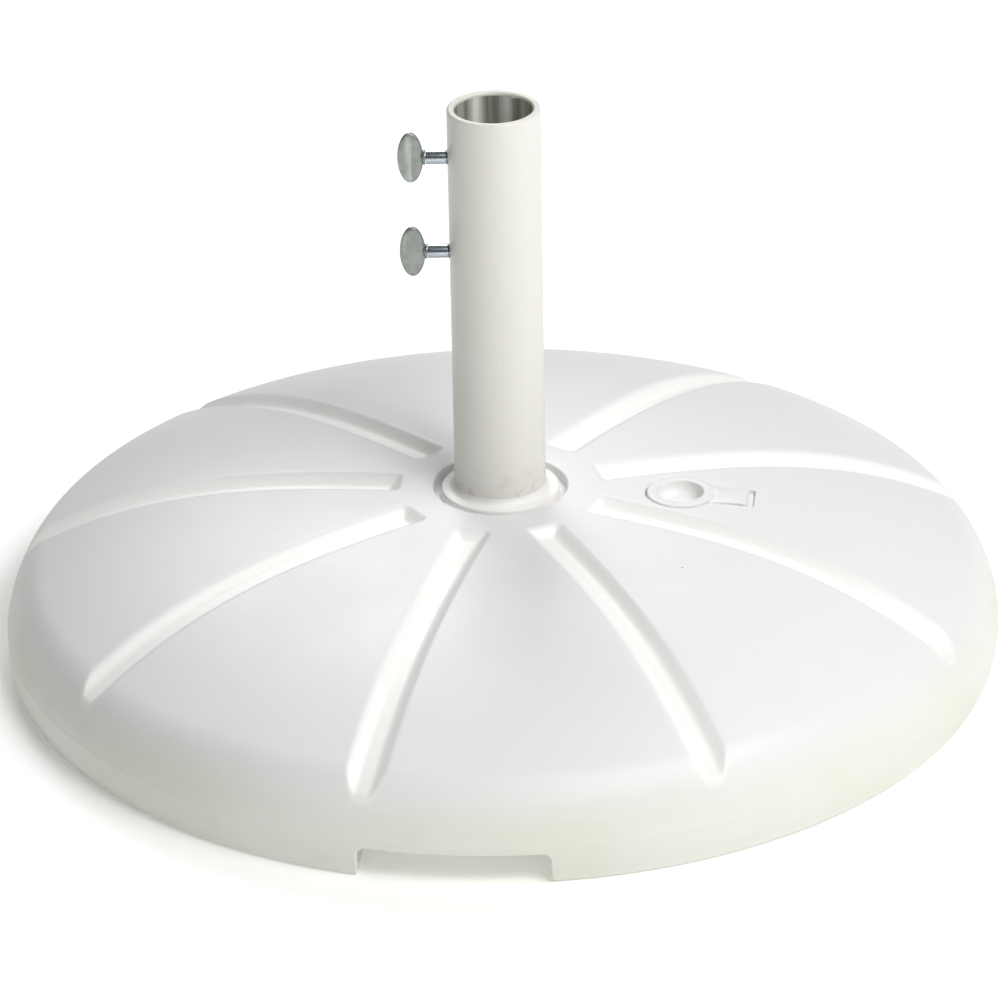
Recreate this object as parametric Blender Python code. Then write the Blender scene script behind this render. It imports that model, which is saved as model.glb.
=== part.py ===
"""Parasol base: a hollow moulded ballast body, a bolted pole tube and two thumb screws.

Metres, +Z up along the pole. The origin is the centre of the resting plane, the filler
plug is on +X and the thumb screws stand out on -X.
"""

import math

import bmesh
import bpy
import numpy as np
from mathutils import Matrix

# Moulded body
BASE_RADIUS = 0.275
WIDEST_HEIGHT = 0.016
WALL_BOW = 0.003
SIDE_WALL_HEIGHT = 0.032
SHOULDER_REACH = 0.021
HUB_HEIGHT = 0.093
DOME_DROP = 0.037
DOME_POWER = 3.2
SKIN = 0.004
FOOT_FILLET = 0.004
FOOT_RING_WIDTH = 0.036
UNDERSIDE_RISE = 0.003

# Flutes pressed into the dome
FLUTE_COUNT = 9
FIRST_FLUTE_DEG = 13.8
FLUTE_WIDTH = 0.0235
FLUTE_DEPTH = 0.0055
FLUTE_WALL = 0.009
FLUTE_CORNER = 0.0055
FLUTE_START_RADIUS = 0.0535

# Hand notches in the foot
NOTCH_COUNT = 3
FIRST_NOTCH_DEG = 264.1
NOTCH_WIDTH = 0.100
NOTCH_HEIGHT = 0.018
NOTCH_LENGTH = 0.040
NOTCH_CORNER = 0.004

# Pole tube and its collar
TUBE_DIAMETER = 0.050
TUBE_WALL = 0.004
TUBE_TOP = 0.3165
TUBE_LIP_ROUND = 0.0015
COLLAR_WALL = 0.0037
COLLAR_FLANGE_RADIUS = 0.0325
COLLAR_FLANGE_HEIGHT = 0.0055
COLLAR_FILLET = 0.0035
COLLAR_SLEEVE_LENGTH = 0.030
MOAT_WIDTH = 0.0043
MOAT_DEPTH = 0.006
EDGE_ROUND = 0.001

# Fastening under the tube
WELL_FLOOR = 0.006
BOLT_RECESS_DIAMETER = 0.044
BOLT_RECESS_DEPTH = 0.0105
BOLT_DIAMETER = 0.010
BOLT_HEAD_FLATS = 0.016
BOLT_HEAD_HEIGHT = 0.0064
BOLT_TIP_STICKOUT = 0.003
WASHER_DIAMETER = 0.036
WASHER_THICKNESS = 0.002
LOCK_WASHER_DIAMETER = 0.0165
LOCK_WASHER_THICKNESS = 0.0022
LOCK_WASHER_SPLIT = 0.0012
END_PLATE_THICKNESS = 0.008

# Thumb screws
SCREW_DROP = 0.0281
SCREW_SPACING = 0.0546
STUD_DIAMETER = 0.008
STUD_STICKOUT = 0.0115
STUD_REACH = 0.0027
STUD_CHAMFER = 0.0008
SPIGOT_DIAMETER = 0.005
SPIGOT_LENGTH = 0.007
HEAD_LENGTH = 0.0138
HEAD_HEIGHT = 0.0285
HEAD_THICKNESS = 0.0034
HEAD_BEVEL = 0.0009
NECK_DIAMETER = 0.0088
NECK_LENGTH = 0.0105
NECK_END_DIAMETER = 0.005

# Filler opening and its plug
FILLER_RADIUS = 0.099
FILLER_DEG = -6.8
PLUG_DIAMETER = 0.037
PLUG_RIM_HEIGHT = 0.004
PLUG_RIM_PROUD = 0.0006
CUP_DIAMETER = 0.025
CUP_WALL = 0.002
CUP_DEPTH = 0.008
NECK_HOLE_DEPTH = 0.030
TAB_LENGTH = 0.0185
TAB_WIDTH = 0.019
TAB_THICKNESS = 0.0025
TAB_CORNER = 0.002
RIM_ROUND = 0.0012
FINGER_GAP = 0.0035

# Ballast
SAND_LEVEL = 0.046
SAND_GAP = 0.002

# Working clearances
CLEARANCE = 0.0003
SLIP = 0.0008

# How far a cutter runs on past the face it cuts
OVERRUN = 0.02

# Fineness
FLUTE_SHARES = (-1.0, -0.62, -0.22, 0.22, 0.62, 1.0)
WIDEST_FLUTE_SHARE = 0.42
PANEL_COLUMNS = 3
DOME_RINGS = 5
ROUND_STEPS = 40
PLUG_STEPS = 32
SMALL_STEPS = 20
CORNER_STEPS = 2

# Sizes that follow from the ones above
TUBE_RADIUS = TUBE_DIAMETER / 2
BORE_RADIUS = TUBE_RADIUS - TUBE_WALL
SLEEVE_BORE = TUBE_RADIUS + CLEARANCE
SLEEVE_RADIUS = SLEEVE_BORE + COLLAR_WALL
WELL_RADIUS = SLEEVE_RADIUS + CLEARANCE
MOAT_RADIUS = COLLAR_FLANGE_RADIUS + MOAT_WIDTH
DOME_EDGE_RADIUS = BASE_RADIUS - SHOULDER_REACH
DOME_EDGE_HEIGHT = HUB_HEIGHT - DOME_DROP
BOLT_RECESS_TOP = UNDERSIDE_RISE + BOLT_RECESS_DEPTH
WELL_FLOOR_TOP = BOLT_RECESS_TOP + WELL_FLOOR
TUBE_BOTTOM = WELL_FLOOR_TOP + CLEARANCE
FLUTE_STEP = 2 * math.pi / FLUTE_COUNT
DOME_SLOPE = DOME_DROP * DOME_POWER / (DOME_EDGE_RADIUS - MOAT_RADIUS)


# ---------------------------------------------------------------- scene and objects


def clear_scene():
    for obj in list(bpy.data.objects):
        bpy.data.objects.remove(obj)


def finish(name, colour, roughness, metallic):
    material = bpy.data.materials.new(name)
    material.use_nodes = True
    shader = material.node_tree.nodes["Principled BSDF"]
    shader.inputs["Base Color"].default_value = (*colour, 1.0)
    shader.inputs["Roughness"].default_value = roughness
    shader.inputs["Metallic"].default_value = metallic
    return material


def add_object(name, mesh, material=None):
    obj = bpy.data.objects.new(name, mesh)
    bpy.context.scene.collection.objects.link(obj)
    if material:
        mesh.materials.append(material)
    return obj


def as_cutter(obj):
    obj.hide_render = True
    obj.display_type = "WIRE"
    return obj


def combine(target, tool, operation="DIFFERENCE"):
    modifier = target.modifiers.new(f"{operation.lower()} {tool.name}", "BOOLEAN")
    modifier.operation = operation
    modifier.solver = "EXACT"
    modifier.object = tool
    return target


# ---------------------------------------------------------------- meshes


def mesh_from(name, bm):
    bmesh.ops.remove_doubles(bm, verts=bm.verts, dist=1e-6)
    bmesh.ops.recalc_face_normals(bm, faces=bm.faces)
    mesh = bpy.data.meshes.new(name)
    bm.to_mesh(mesh)
    bm.free()
    mesh.shade_smooth()
    mesh.set_sharp_from_angle(angle=math.radians(35))
    return mesh


def turned_mesh(name, outline, steps=ROUND_STEPS):
    """A (radius, height) outline spun round Z. A closed outline makes a ring.

    One whose first and last points lie on Z makes a solid, and its two ends become flat caps.
    """
    solid = outline[0][0] == 0
    bm = bmesh.new()
    verts = [bm.verts.new((radius, 0, height)) for radius, height in outline if radius > 0]
    edges = [bm.edges.new(pair) for pair in zip(verts, verts[1:])]
    if not solid:
        edges.append(bm.edges.new((verts[-1], verts[0])))
    bmesh.ops.spin(
        bm, geom=verts + edges, axis=(0, 0, 1), cent=(0, 0, 0), angle=2 * math.pi, steps=steps
    )
    bmesh.ops.remove_doubles(bm, verts=bm.verts, dist=1e-6)
    bmesh.ops.holes_fill(bm, edges=[e for e in bm.edges if e.is_boundary], sides=0)
    return mesh_from(name, bm)


def rod_mesh(name, outline, steps=SMALL_STEPS):
    """A turned solid whose axis is X: the outline holds (radius, place along X)."""
    mesh = turned_mesh(name, outline, steps)
    mesh.transform(Matrix.Rotation(math.pi / 2, 4, "Y"))
    return mesh


def box_mesh(name, low, high, corner=0.0, corner_axis=None):
    """A box from its two corners, with the edges along one axis rounded where asked."""
    bm = bmesh.new()
    bmesh.ops.create_cube(bm, size=1.0)
    low, high = np.array(low), np.array(high)
    bmesh.ops.scale(bm, vec=high - low, verts=bm.verts)
    bmesh.ops.translate(bm, vec=(low + high) / 2, verts=bm.verts)
    if corner:
        along = [e for e in bm.edges if abs((e.verts[0].co - e.verts[1].co).normalized()[corner_axis]) > 0.9]
        bmesh.ops.bevel(
            bm, geom=along, offset=corner, segments=CORNER_STEPS, affect="EDGES", profile=0.5
        )
    return mesh_from(name, bm)


def ring_grid_mesh(name, points):
    """Points as [ring, column, xyz], closed round Z and closed from the last ring to the first."""
    rings, columns = points.shape[:2]
    index = np.arange(rings * columns).reshape(rings, columns)
    right = np.roll(index, -1, axis=1)
    below = np.roll(index, -1, axis=0)
    corner = np.roll(right, -1, axis=0)
    faces = np.stack([index, below, corner, right], axis=-1).reshape(-1, 4)
    mesh = bpy.data.meshes.new(name)
    mesh.from_pydata(points.reshape(-1, 3).tolist(), [], faces.tolist())
    bm = bmesh.new()
    bm.from_mesh(mesh)
    bpy.data.meshes.remove(mesh)
    return mesh_from(name, bm)


def arc(centre, radius, start_deg, end_deg, steps=CORNER_STEPS):
    angles = np.radians(np.linspace(start_deg, end_deg, steps + 1))
    return [
        (centre[0] + radius * math.cos(a), centre[1] + radius * math.sin(a)) for a in angles
    ]


# ---------------------------------------------------------------- shape of the moulded body


def dome_height(radius):
    """Flat at the hub, then falling as a power of the way out; straight on past its edge."""
    way = (np.clip(radius, MOAT_RADIUS, DOME_EDGE_RADIUS) - MOAT_RADIUS) / (
        DOME_EDGE_RADIUS - MOAT_RADIUS
    )
    past_edge = np.maximum(0, radius - DOME_EDGE_RADIUS)
    return HUB_HEIGHT - DOME_DROP * way**DOME_POWER - DOME_SLOPE * past_edge


def side_radius(height):
    """The side wall bows out to its widest, on the mould's parting line."""
    return BASE_RADIUS - WALL_BOW * ((height - WIDEST_HEIGHT) / WIDEST_HEIGHT) ** 2


def shoulder(skin=0.0, steps=3):
    """A quadratic curve that leaves the dome along its slope and lands along the side wall."""
    start = np.array([DOME_EDGE_RADIUS, DOME_EDGE_HEIGHT])
    end = np.array([side_radius(SIDE_WALL_HEIGHT), SIDE_WALL_HEIGHT])
    down = np.array([1.0, -DOME_SLOPE])
    lean = 2 * WALL_BOW * (SIDE_WALL_HEIGHT - WIDEST_HEIGHT) / WIDEST_HEIGHT**2
    up = np.array([-lean, 1.0])
    reach = np.linalg.solve(np.stack([down, -up], axis=1), end - start)[0]
    middle = start + reach * down
    t = np.linspace(0, 1, steps + 1)[:, None]
    curve = (1 - t) ** 2 * start + 2 * t * (1 - t) * middle + t**2 * end
    along = 2 * (1 - t) * (middle - start) + 2 * t * (end - middle)
    inward = np.stack([along[:, 1], -along[:, 0]], axis=1)
    inward /= np.linalg.norm(inward, axis=1, keepdims=True)
    return curve + skin * inward


def flute_floor(radius, across, skin=0.0):
    """Height of a flute's floor: a bar with rounded corners, whose walls ease in and out."""
    corner = FLUTE_CORNER + skin
    beside = np.abs(across) - (FLUTE_WIDTH / 2 + skin - corner)
    before = FLUTE_START_RADIUS - skin + corner - radius
    past_corner = np.hypot(np.maximum(beside, 0), np.maximum(before, 0))
    outside = past_corner + np.minimum(np.maximum(beside, before), 0) - corner
    way = np.clip(-outside / FLUTE_WALL, 0, 1)
    return dome_height(radius) - skin - FLUTE_DEPTH * way**2 * (3 - 2 * way)


def column_angles(radius, skin=0.0):
    """Angles of one ring's columns and their share of a flute's half width, 2 between flutes."""
    half = np.arcsin(np.clip((FLUTE_WIDTH / 2 + skin) / radius, 0, 1))
    half = np.minimum(half, WIDEST_FLUTE_SHARE * FLUTE_STEP)
    between = np.arange(1, PANEL_COLUMNS + 1) / (PANEL_COLUMNS + 1)
    one = np.concatenate([half * np.array(FLUTE_SHARES), half + between * (FLUTE_STEP - 2 * half)])
    starts = math.radians(FIRST_FLUTE_DEG) + FLUTE_STEP * np.arange(FLUTE_COUNT)
    share = np.tile(np.concatenate([FLUTE_SHARES, np.full(PANEL_COLUMNS, 2.0)]), FLUTE_COUNT)
    return (starts[:, None] + one).ravel(), share


def fluted_mesh(name, rings, skin=0.0):
    """A ring-shaped body from (radius, height, fluted) rings, with the flutes pressed into it."""
    points = []
    for radius, height, fluted in rings:
        angle, share = column_angles(radius, skin)
        z = np.full(len(angle), height)
        if fluted:
            across = share * (FLUTE_WIDTH / 2 + skin)
            z = np.where(share <= 1, np.minimum(z, flute_floor(radius, across, skin)), z)
        points.append(np.stack([radius * np.cos(angle), radius * np.sin(angle), z], axis=1))
    return ring_grid_mesh(name, np.array(points))


def dome_radii():
    """Radii of the dome's rings: close together on the flutes' end walls, wider after them."""
    end = FLUTE_START_RADIUS + np.array([0, 0.5, 1.0]) * FLUTE_WALL
    rest = np.linspace(end[-1], DOME_EDGE_RADIUS, DOME_RINGS + 2)[1:-1]
    return np.concatenate([end, rest])


def body_rings():
    """The outer face, from the hub over the dome and down the side to the foot."""
    inner = SLEEVE_BORE
    rings = [(inner, HUB_HEIGHT, False), (MOAT_RADIUS + EDGE_ROUND, HUB_HEIGHT, False)]
    rings += [(r, dome_height(r), True) for r in dome_radii()]
    rings += [(r, z, True) for r, z in shoulder()]
    heights = np.linspace(SIDE_WALL_HEIGHT, FOOT_FILLET, 4)[1:]
    rings += [(side_radius(z), z, False) for z in heights]
    foot = (side_radius(FOOT_FILLET) - FOOT_FILLET, FOOT_FILLET)
    rings += [(r, z, False) for r, z in arc(foot, FOOT_FILLET, 0, -90)[1:]]
    foot_inner = foot[0] - FOOT_RING_WIDTH
    rings += [(foot_inner, 0.0, False), (foot_inner - UNDERSIDE_RISE, UNDERSIDE_RISE, False)]
    rings += [(inner, UNDERSIDE_RISE, False)]
    return rings


def cavity_rings():
    """The inner face of the skin, with a step round the moat and round the foot ring."""
    well = WELL_RADIUS + SKIN
    moat = MOAT_RADIUS + SKIN
    moat_floor = HUB_HEIGHT - MOAT_DEPTH - SKIN
    rings = [(well, moat_floor, False), (moat, moat_floor, False)]
    rings += [(moat, HUB_HEIGHT - SKIN, False)]
    rings += [(r, dome_height(r) - SKIN, True) for r in dome_radii()]
    rings += [(r, z, True) for r, z in shoulder(SKIN, steps=2)[1:]]
    rings += [(side_radius(WIDEST_HEIGHT) - SKIN, WIDEST_HEIGHT, False)]
    foot_outer = side_radius(FOOT_FILLET) - SKIN - FOOT_FILLET
    foot_inner = side_radius(FOOT_FILLET) - FOOT_FILLET - FOOT_RING_WIDTH
    rings += [(foot_outer, SKIN, False), (foot_inner, SKIN, False)]
    rings += [(foot_inner - UNDERSIDE_RISE, UNDERSIDE_RISE + SKIN, False)]
    rings += [(well, UNDERSIDE_RISE + SKIN, False)]
    return rings


# ---------------------------------------------------------------- cutters


def notch_cutter(name, grow=0.0):
    """All hand notches in one mesh, each grown on every side by the same amount."""
    whole = bmesh.new()
    for i in range(NOTCH_COUNT):
        angle = math.radians(FIRST_NOTCH_DEG) + 2 * math.pi * i / NOTCH_COUNT
        half = NOTCH_WIDTH / 2 + grow
        low = (BASE_RADIUS - NOTCH_LENGTH - grow, -half, -NOTCH_HEIGHT)
        high = (BASE_RADIUS + NOTCH_LENGTH, half, NOTCH_HEIGHT + grow)
        mesh = box_mesh(name, low, high, NOTCH_CORNER + grow, corner_axis=0)
        mesh.transform(Matrix.Rotation(angle, 4, "Z"))
        whole.from_mesh(mesh)
        bpy.data.meshes.remove(mesh)
    return as_cutter(add_object(name, mesh_from(name, whole)))


def filler_frame():
    """Turns and moves a part drawn round the filler's own axis, with its tab along +X."""
    turn = Matrix.Rotation(math.radians(FILLER_DEG), 4, "Z")
    return turn @ Matrix.Translation((FILLER_RADIUS, 0, float(dome_height(FILLER_RADIUS))))


def pocket_end():
    return PLUG_DIAMETER / 2 + TAB_LENGTH + FINGER_GAP


def pocket_floor(grow=0.0):
    """Depth of the plug's seat under the dome's height at the plug's axis."""
    return -PLUG_RIM_HEIGHT + PLUG_RIM_PROUD - CLEARANCE - grow


def filler_pocket_cutter(name, grow=0.0):
    """The round seat of the plug joined to the flat pocket that its tab lies in."""
    seat_radius = PLUG_DIAMETER / 2 + SLIP + grow
    seat = [(0, OVERRUN), (seat_radius, OVERRUN)]
    seat += [(seat_radius, pocket_floor(grow)), (0, pocket_floor(grow))]
    half = TAB_WIDTH / 2 + SLIP + grow
    slope_drop = float(dome_height(FILLER_RADIUS) - dome_height(FILLER_RADIUS + pocket_end()))
    floor = pocket_floor(grow) - slope_drop / 2
    slot = box_mesh(
        f"{name}_slot", (0, -half, floor), (pocket_end() + grow, half, OVERRUN), TAB_CORNER, 2
    )
    pocket = add_object(name, turned_mesh(name, seat, PLUG_STEPS))
    tool = as_cutter(add_object(f"{name}_slot", slot))
    combine(pocket, tool, "UNION")
    pocket.matrix_world = filler_frame()
    tool.matrix_world = filler_frame()
    return as_cutter(pocket)


def filler_neck_cutter(name):
    radius = CUP_DIAMETER / 2 + CUP_WALL + CLEARANCE
    outline = [(0, OVERRUN), (radius, OVERRUN), (radius, -NECK_HOLE_DEPTH), (0, -NECK_HOLE_DEPTH)]
    neck = add_object(name, turned_mesh(name, outline, PLUG_STEPS))
    neck.matrix_world = filler_frame()
    return as_cutter(neck)


def well_cutter(name):
    """The tube's well with the moat round its mouth, the bolt hole and the bolt's recess."""
    bolt_hole = BOLT_DIAMETER / 2 + SLIP
    recess = BOLT_RECESS_DIAMETER / 2
    moat_floor = HUB_HEIGHT - MOAT_DEPTH
    above, below = HUB_HEIGHT + OVERRUN, -OVERRUN
    outline = [(0, above), (MOAT_RADIUS + EDGE_ROUND, above)]
    outline += [(MOAT_RADIUS + EDGE_ROUND, HUB_HEIGHT), (MOAT_RADIUS, HUB_HEIGHT - EDGE_ROUND)]
    outline += [(MOAT_RADIUS, moat_floor), (WELL_RADIUS, moat_floor)]
    outline += [(WELL_RADIUS, WELL_FLOOR_TOP), (bolt_hole, WELL_FLOOR_TOP)]
    outline += [(bolt_hole, BOLT_RECESS_TOP), (recess, BOLT_RECESS_TOP), (recess, below), (0, below)]
    return as_cutter(add_object(name, turned_mesh(name, outline)))


# ---------------------------------------------------------------- the pieces


def base_shell(material):
    """One hollow moulding; the filler neck is the only way into it."""
    shell = add_object(
        "base_shell", fluted_mesh("base_shell", body_rings()), material
    )
    cavity = fluted_mesh("shell_cavity", cavity_rings(), SKIN)
    cavity = as_cutter(add_object("shell_cavity", cavity))
    combine(cavity, notch_cutter("notch_walls", SKIN))
    combine(cavity, filler_pocket_cutter("filler_pocket_walls", SKIN))
    combine(cavity, filler_neck_cutter("filler_neck"), "UNION")
    combine(shell, well_cutter("tube_well"))
    combine(shell, notch_cutter("hand_notches"))
    combine(shell, filler_pocket_cutter("filler_pocket"))
    return combine(shell, cavity)


def sand_ballast(material):
    """Settled sand: level on top, and clear of the skin and of the walls round the notches."""
    inner = WELL_RADIUS + SKIN + SAND_GAP
    low = UNDERSIDE_RISE + SKIN + SAND_GAP
    outer = [side_radius(z) - SKIN - SAND_GAP for z in (WIDEST_HEIGHT, SIDE_WALL_HEIGHT)]
    top_radius = DOME_EDGE_RADIUS - SKIN - SAND_GAP
    outline = [(inner, SAND_LEVEL), (top_radius, SAND_LEVEL), (outer[1] - SAND_GAP, SIDE_WALL_HEIGHT)]
    outline += [(outer[0], WIDEST_HEIGHT), (outer[0] - SKIN - SAND_GAP, low), (inner, low)]
    sand = add_object("sand_ballast", turned_mesh("sand_ballast", outline), material)
    return combine(sand, notch_cutter("sand_clearance", SKIN + SAND_GAP))


def pole_tube(material):
    """A steel tube with a rounded lip and one tapped hole for each thumb screw."""
    inner_lip = arc((BORE_RADIUS + TUBE_LIP_ROUND, TUBE_TOP - TUBE_LIP_ROUND), TUBE_LIP_ROUND, 180, 90)
    outer_lip = arc((TUBE_RADIUS - TUBE_LIP_ROUND, TUBE_TOP - TUBE_LIP_ROUND), TUBE_LIP_ROUND, 90, 0)
    outline = inner_lip + outer_lip + [(TUBE_RADIUS, TUBE_BOTTOM), (BORE_RADIUS, TUBE_BOTTOM)]
    tube = add_object("pole_tube", turned_mesh("pole_tube", outline), material)
    for label, height in screw_heights().items():
        radius = STUD_DIAMETER / 2 + CLEARANCE
        name = f"{label}_screw_hole"
        span = [(0, -TUBE_DIAMETER), (radius, -TUBE_DIAMETER), (radius, 0), (0, 0)]
        hole = as_cutter(add_object(name, rod_mesh(name, span)))
        hole.location = (0, 0, height)
        combine(tube, hole)
    return tube


def tube_collar(material):
    """A moulded bush in the well's mouth: its flange stands in the moat, level with the hub."""
    base = HUB_HEIGHT - MOAT_DEPTH + CLEARANCE
    top = base + COLLAR_FLANGE_HEIGHT
    bottom = base - COLLAR_SLEEVE_LENGTH
    rim = (COLLAR_FLANGE_RADIUS - EDGE_ROUND, top - EDGE_ROUND)
    fillet_centre = (SLEEVE_BORE + EDGE_ROUND / 2 + COLLAR_FILLET, top + COLLAR_FILLET)
    outline = [(SLEEVE_BORE, top + COLLAR_FILLET)]
    outline += arc(fillet_centre, COLLAR_FILLET, 180, 270)
    outline += arc(rim, EDGE_ROUND, 90, 0)
    outline += [(COLLAR_FLANGE_RADIUS, base), (SLEEVE_RADIUS, base)]
    outline += [(SLEEVE_RADIUS, bottom), (SLEEVE_BORE, bottom)]
    return add_object("tube_collar", turned_mesh("tube_collar", outline), material)


def tube_end_plate(material):
    """A tapped disc welded into the foot of the tube, which also stops the parasol's pole."""
    hole = BOLT_DIAMETER / 2 + CLEARANCE
    rim = BORE_RADIUS - CLEARANCE
    top = TUBE_BOTTOM + END_PLATE_THICKNESS
    outline = [(hole, top), (rim, top), (rim, TUBE_BOTTOM), (hole, TUBE_BOTTOM)]
    mesh = turned_mesh("tube_end_plate", outline, SMALL_STEPS)
    return add_object("tube_end_plate", mesh, material)


def washer_top():
    return BOLT_RECESS_TOP - CLEARANCE


def lock_washer_top():
    return washer_top() - WASHER_THICKNESS - CLEARANCE


def bolt_head_top():
    return lock_washer_top() - LOCK_WASHER_THICKNESS - CLEARANCE


def washer_mesh(name, radius, top, thickness):
    hole = BOLT_DIAMETER / 2 + CLEARANCE
    outline = [(hole, top), (radius, top), (radius, top - thickness), (hole, top - thickness)]
    return turned_mesh(name, outline, SMALL_STEPS)


def clamp_washer(material):
    mesh = washer_mesh("clamp_washer", WASHER_DIAMETER / 2, washer_top(), WASHER_THICKNESS)
    return add_object("clamp_washer", mesh, material)


def lock_washer(material):
    """A split spring washer."""
    top, thickness = lock_washer_top(), LOCK_WASHER_THICKNESS
    mesh = washer_mesh("lock_washer", LOCK_WASHER_DIAMETER / 2, top, thickness)
    washer = add_object("lock_washer", mesh, material)
    half = LOCK_WASHER_SPLIT / 2
    split = box_mesh(
        "lock_washer_split", (0, -half, top - 2 * thickness), (LOCK_WASHER_DIAMETER, half, top + thickness)
    )
    return combine(washer, as_cutter(add_object("lock_washer_split", split)))


def clamp_bolt(material):
    """A hexagon bolt up through the well's floor into the end plate."""
    head_top = bolt_head_top()
    tip = TUBE_BOTTOM + END_PLATE_THICKNESS + BOLT_TIP_STICKOUT
    radius = BOLT_DIAMETER / 2
    overlap = BOLT_HEAD_HEIGHT / 2
    outline = [(0, tip), (radius - STUD_CHAMFER, tip), (radius, tip - STUD_CHAMFER)]
    outline += [(radius, head_top - overlap), (0, head_top - overlap)]
    bolt = add_object("clamp_bolt", turned_mesh("clamp_bolt", outline, SMALL_STEPS), material)
    bm = bmesh.new()
    corner = BOLT_HEAD_FLATS / math.sqrt(3)
    place = Matrix.Translation((0, 0, head_top - BOLT_HEAD_HEIGHT / 2))
    bmesh.ops.create_cone(
        bm,
        cap_ends=True,
        segments=6,
        radius1=corner,
        radius2=corner,
        depth=BOLT_HEAD_HEIGHT,
        matrix=place,
    )
    head = as_cutter(add_object("clamp_bolt_hexagon", mesh_from("clamp_bolt_hexagon", bm)))
    return combine(bolt, head, "UNION")


def screw_heights():
    upper = TUBE_TOP - SCREW_DROP
    return {"upper": upper, "lower": upper - SCREW_SPACING}


def neck_face():
    """How far from the pole's axis the screw's visible shank ends, on -X."""
    return TUBE_RADIUS + STUD_STICKOUT


def thumb_stud(label, height, material):
    """A steel stud through the tube's wall, with a thinner spigot that its head is cast on."""
    name = f"{label}_thumb_stud"
    face = -neck_face()
    tip = -(BORE_RADIUS - STUD_REACH)
    radius = STUD_DIAMETER / 2
    outline = [(0, tip), (radius - STUD_CHAMFER, tip), (radius, tip - STUD_CHAMFER), (radius, face)]
    outline += [(SPIGOT_DIAMETER / 2, face), (SPIGOT_DIAMETER / 2, face - SPIGOT_LENGTH)]
    outline += [(0, face - SPIGOT_LENGTH)]
    stud = add_object(name, rod_mesh(name, outline), material)
    stud.location = (0, 0, height)
    return stud


def thumb_head(label, height, material):
    """A cast oval spade, on edge to the pole, with a neck that tapers into it."""
    name = f"{label}_thumb_head"
    face = -neck_face() - CLEARANCE
    neck_end = face - NECK_LENGTH
    outline = [(0, face), (NECK_DIAMETER / 2, face), (NECK_DIAMETER / 2, face - CLEARANCE * 4)]
    outline += [(NECK_END_DIAMETER / 2, neck_end), (0, neck_end)]
    head = add_object(name, rod_mesh(name, outline), material)
    bm = bmesh.new()
    bmesh.ops.create_cone(
        bm, cap_ends=True, segments=SMALL_STEPS, radius1=0.5, radius2=0.5, depth=HEAD_THICKNESS
    )
    bmesh.ops.scale(bm, vec=(HEAD_LENGTH, HEAD_HEIGHT, 1), verts=bm.verts)
    rims = [e for e in bm.edges if abs(e.verts[0].co.z - e.verts[1].co.z) < 1e-6]
    bmesh.ops.bevel(bm, geom=rims, offset=HEAD_BEVEL, segments=1, affect="EDGES", profile=0.5)
    overlap = NECK_DIAMETER / 4
    bmesh.ops.rotate(bm, cent=(0, 0, 0), matrix=Matrix.Rotation(math.pi / 2, 3, "X"), verts=bm.verts)
    bmesh.ops.translate(bm, vec=(face - HEAD_LENGTH / 2 - overlap / 2, 0, 0), verts=bm.verts)
    spade = as_cutter(add_object(f"{name}_spade", mesh_from(f"{name}_spade", bm)))
    hole_radius = SPIGOT_DIAMETER / 2 + CLEARANCE
    depth = face - SPIGOT_LENGTH - CLEARANCE
    above = face + OVERRUN
    socket = [(0, above), (hole_radius, above), (hole_radius, depth), (0, depth)]
    socket = as_cutter(add_object(f"{name}_socket", rod_mesh(f"{name}_socket", socket)))
    for obj in (head, spade, socket):
        obj.location = (0, 0, height)
    combine(head, spade, "UNION")
    return combine(head, socket)


def filler_plug(material):
    """A cup-shaped plug with a round rim and a flat pull tab, lying in the body's pocket."""
    rim_radius = PLUG_DIAMETER / 2
    cup = CUP_DIAMETER / 2
    outer_cup = cup + CUP_WALL
    top = PLUG_RIM_PROUD
    seat = top - PLUG_RIM_HEIGHT
    bottom = top - CUP_DEPTH - CUP_WALL
    floor = top - CUP_DEPTH
    outline = [(0, floor), (cup - RIM_ROUND, floor), (cup, floor + RIM_ROUND)]
    outline += arc((cup + RIM_ROUND, top - RIM_ROUND), RIM_ROUND, 180, 90)
    outline += arc((rim_radius - RIM_ROUND, top - RIM_ROUND), RIM_ROUND, 90, 0)
    outline += [(rim_radius, seat), (outer_cup, seat), (outer_cup, bottom), (0, bottom)]
    plug = add_object("filler_plug", turned_mesh("filler_plug", outline, PLUG_STEPS), material)
    half = TAB_WIDTH / 2
    tab = box_mesh(
        "filler_plug_tab",
        (outer_cup, -half, seat),
        (rim_radius + TAB_LENGTH, half, seat + TAB_THICKNESS),
        TAB_CORNER,
        corner_axis=2,
    )
    tab = as_cutter(add_object("filler_plug_tab", tab))
    combine(plug, tab, "UNION")
    plug.matrix_world = filler_frame()
    tab.matrix_world = filler_frame()
    return plug


def main():
    clear_scene()
    white_resin = finish("white resin", (0.86, 0.86, 0.84), 0.5, 0.0)
    plug_resin = finish("soft white resin", (0.84, 0.84, 0.81), 0.45, 0.0)
    white_paint = finish("white powder coat", (0.80, 0.79, 0.74), 0.45, 0.0)
    zinc_plate = finish("zinc-plated steel", (0.62, 0.66, 0.66), 0.3, 1.0)
    zinc_casting = finish("zinc casting", (0.42, 0.45, 0.43), 0.45, 0.9)
    bare_steel = finish("bare steel", (0.45, 0.45, 0.44), 0.4, 0.9)
    sand = finish("sand", (0.62, 0.52, 0.38), 0.95, 0.0)

    base_shell(white_resin)
    sand_ballast(sand)
    filler_plug(plug_resin)
    pole_tube(white_paint)
    tube_collar(white_resin)
    tube_end_plate(bare_steel)
    clamp_washer(zinc_plate)
    lock_washer(zinc_plate)
    clamp_bolt(zinc_plate)
    for label, height in screw_heights().items():
        thumb_stud(label, height, zinc_plate)
        thumb_head(label, height, zinc_casting)


main()
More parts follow.
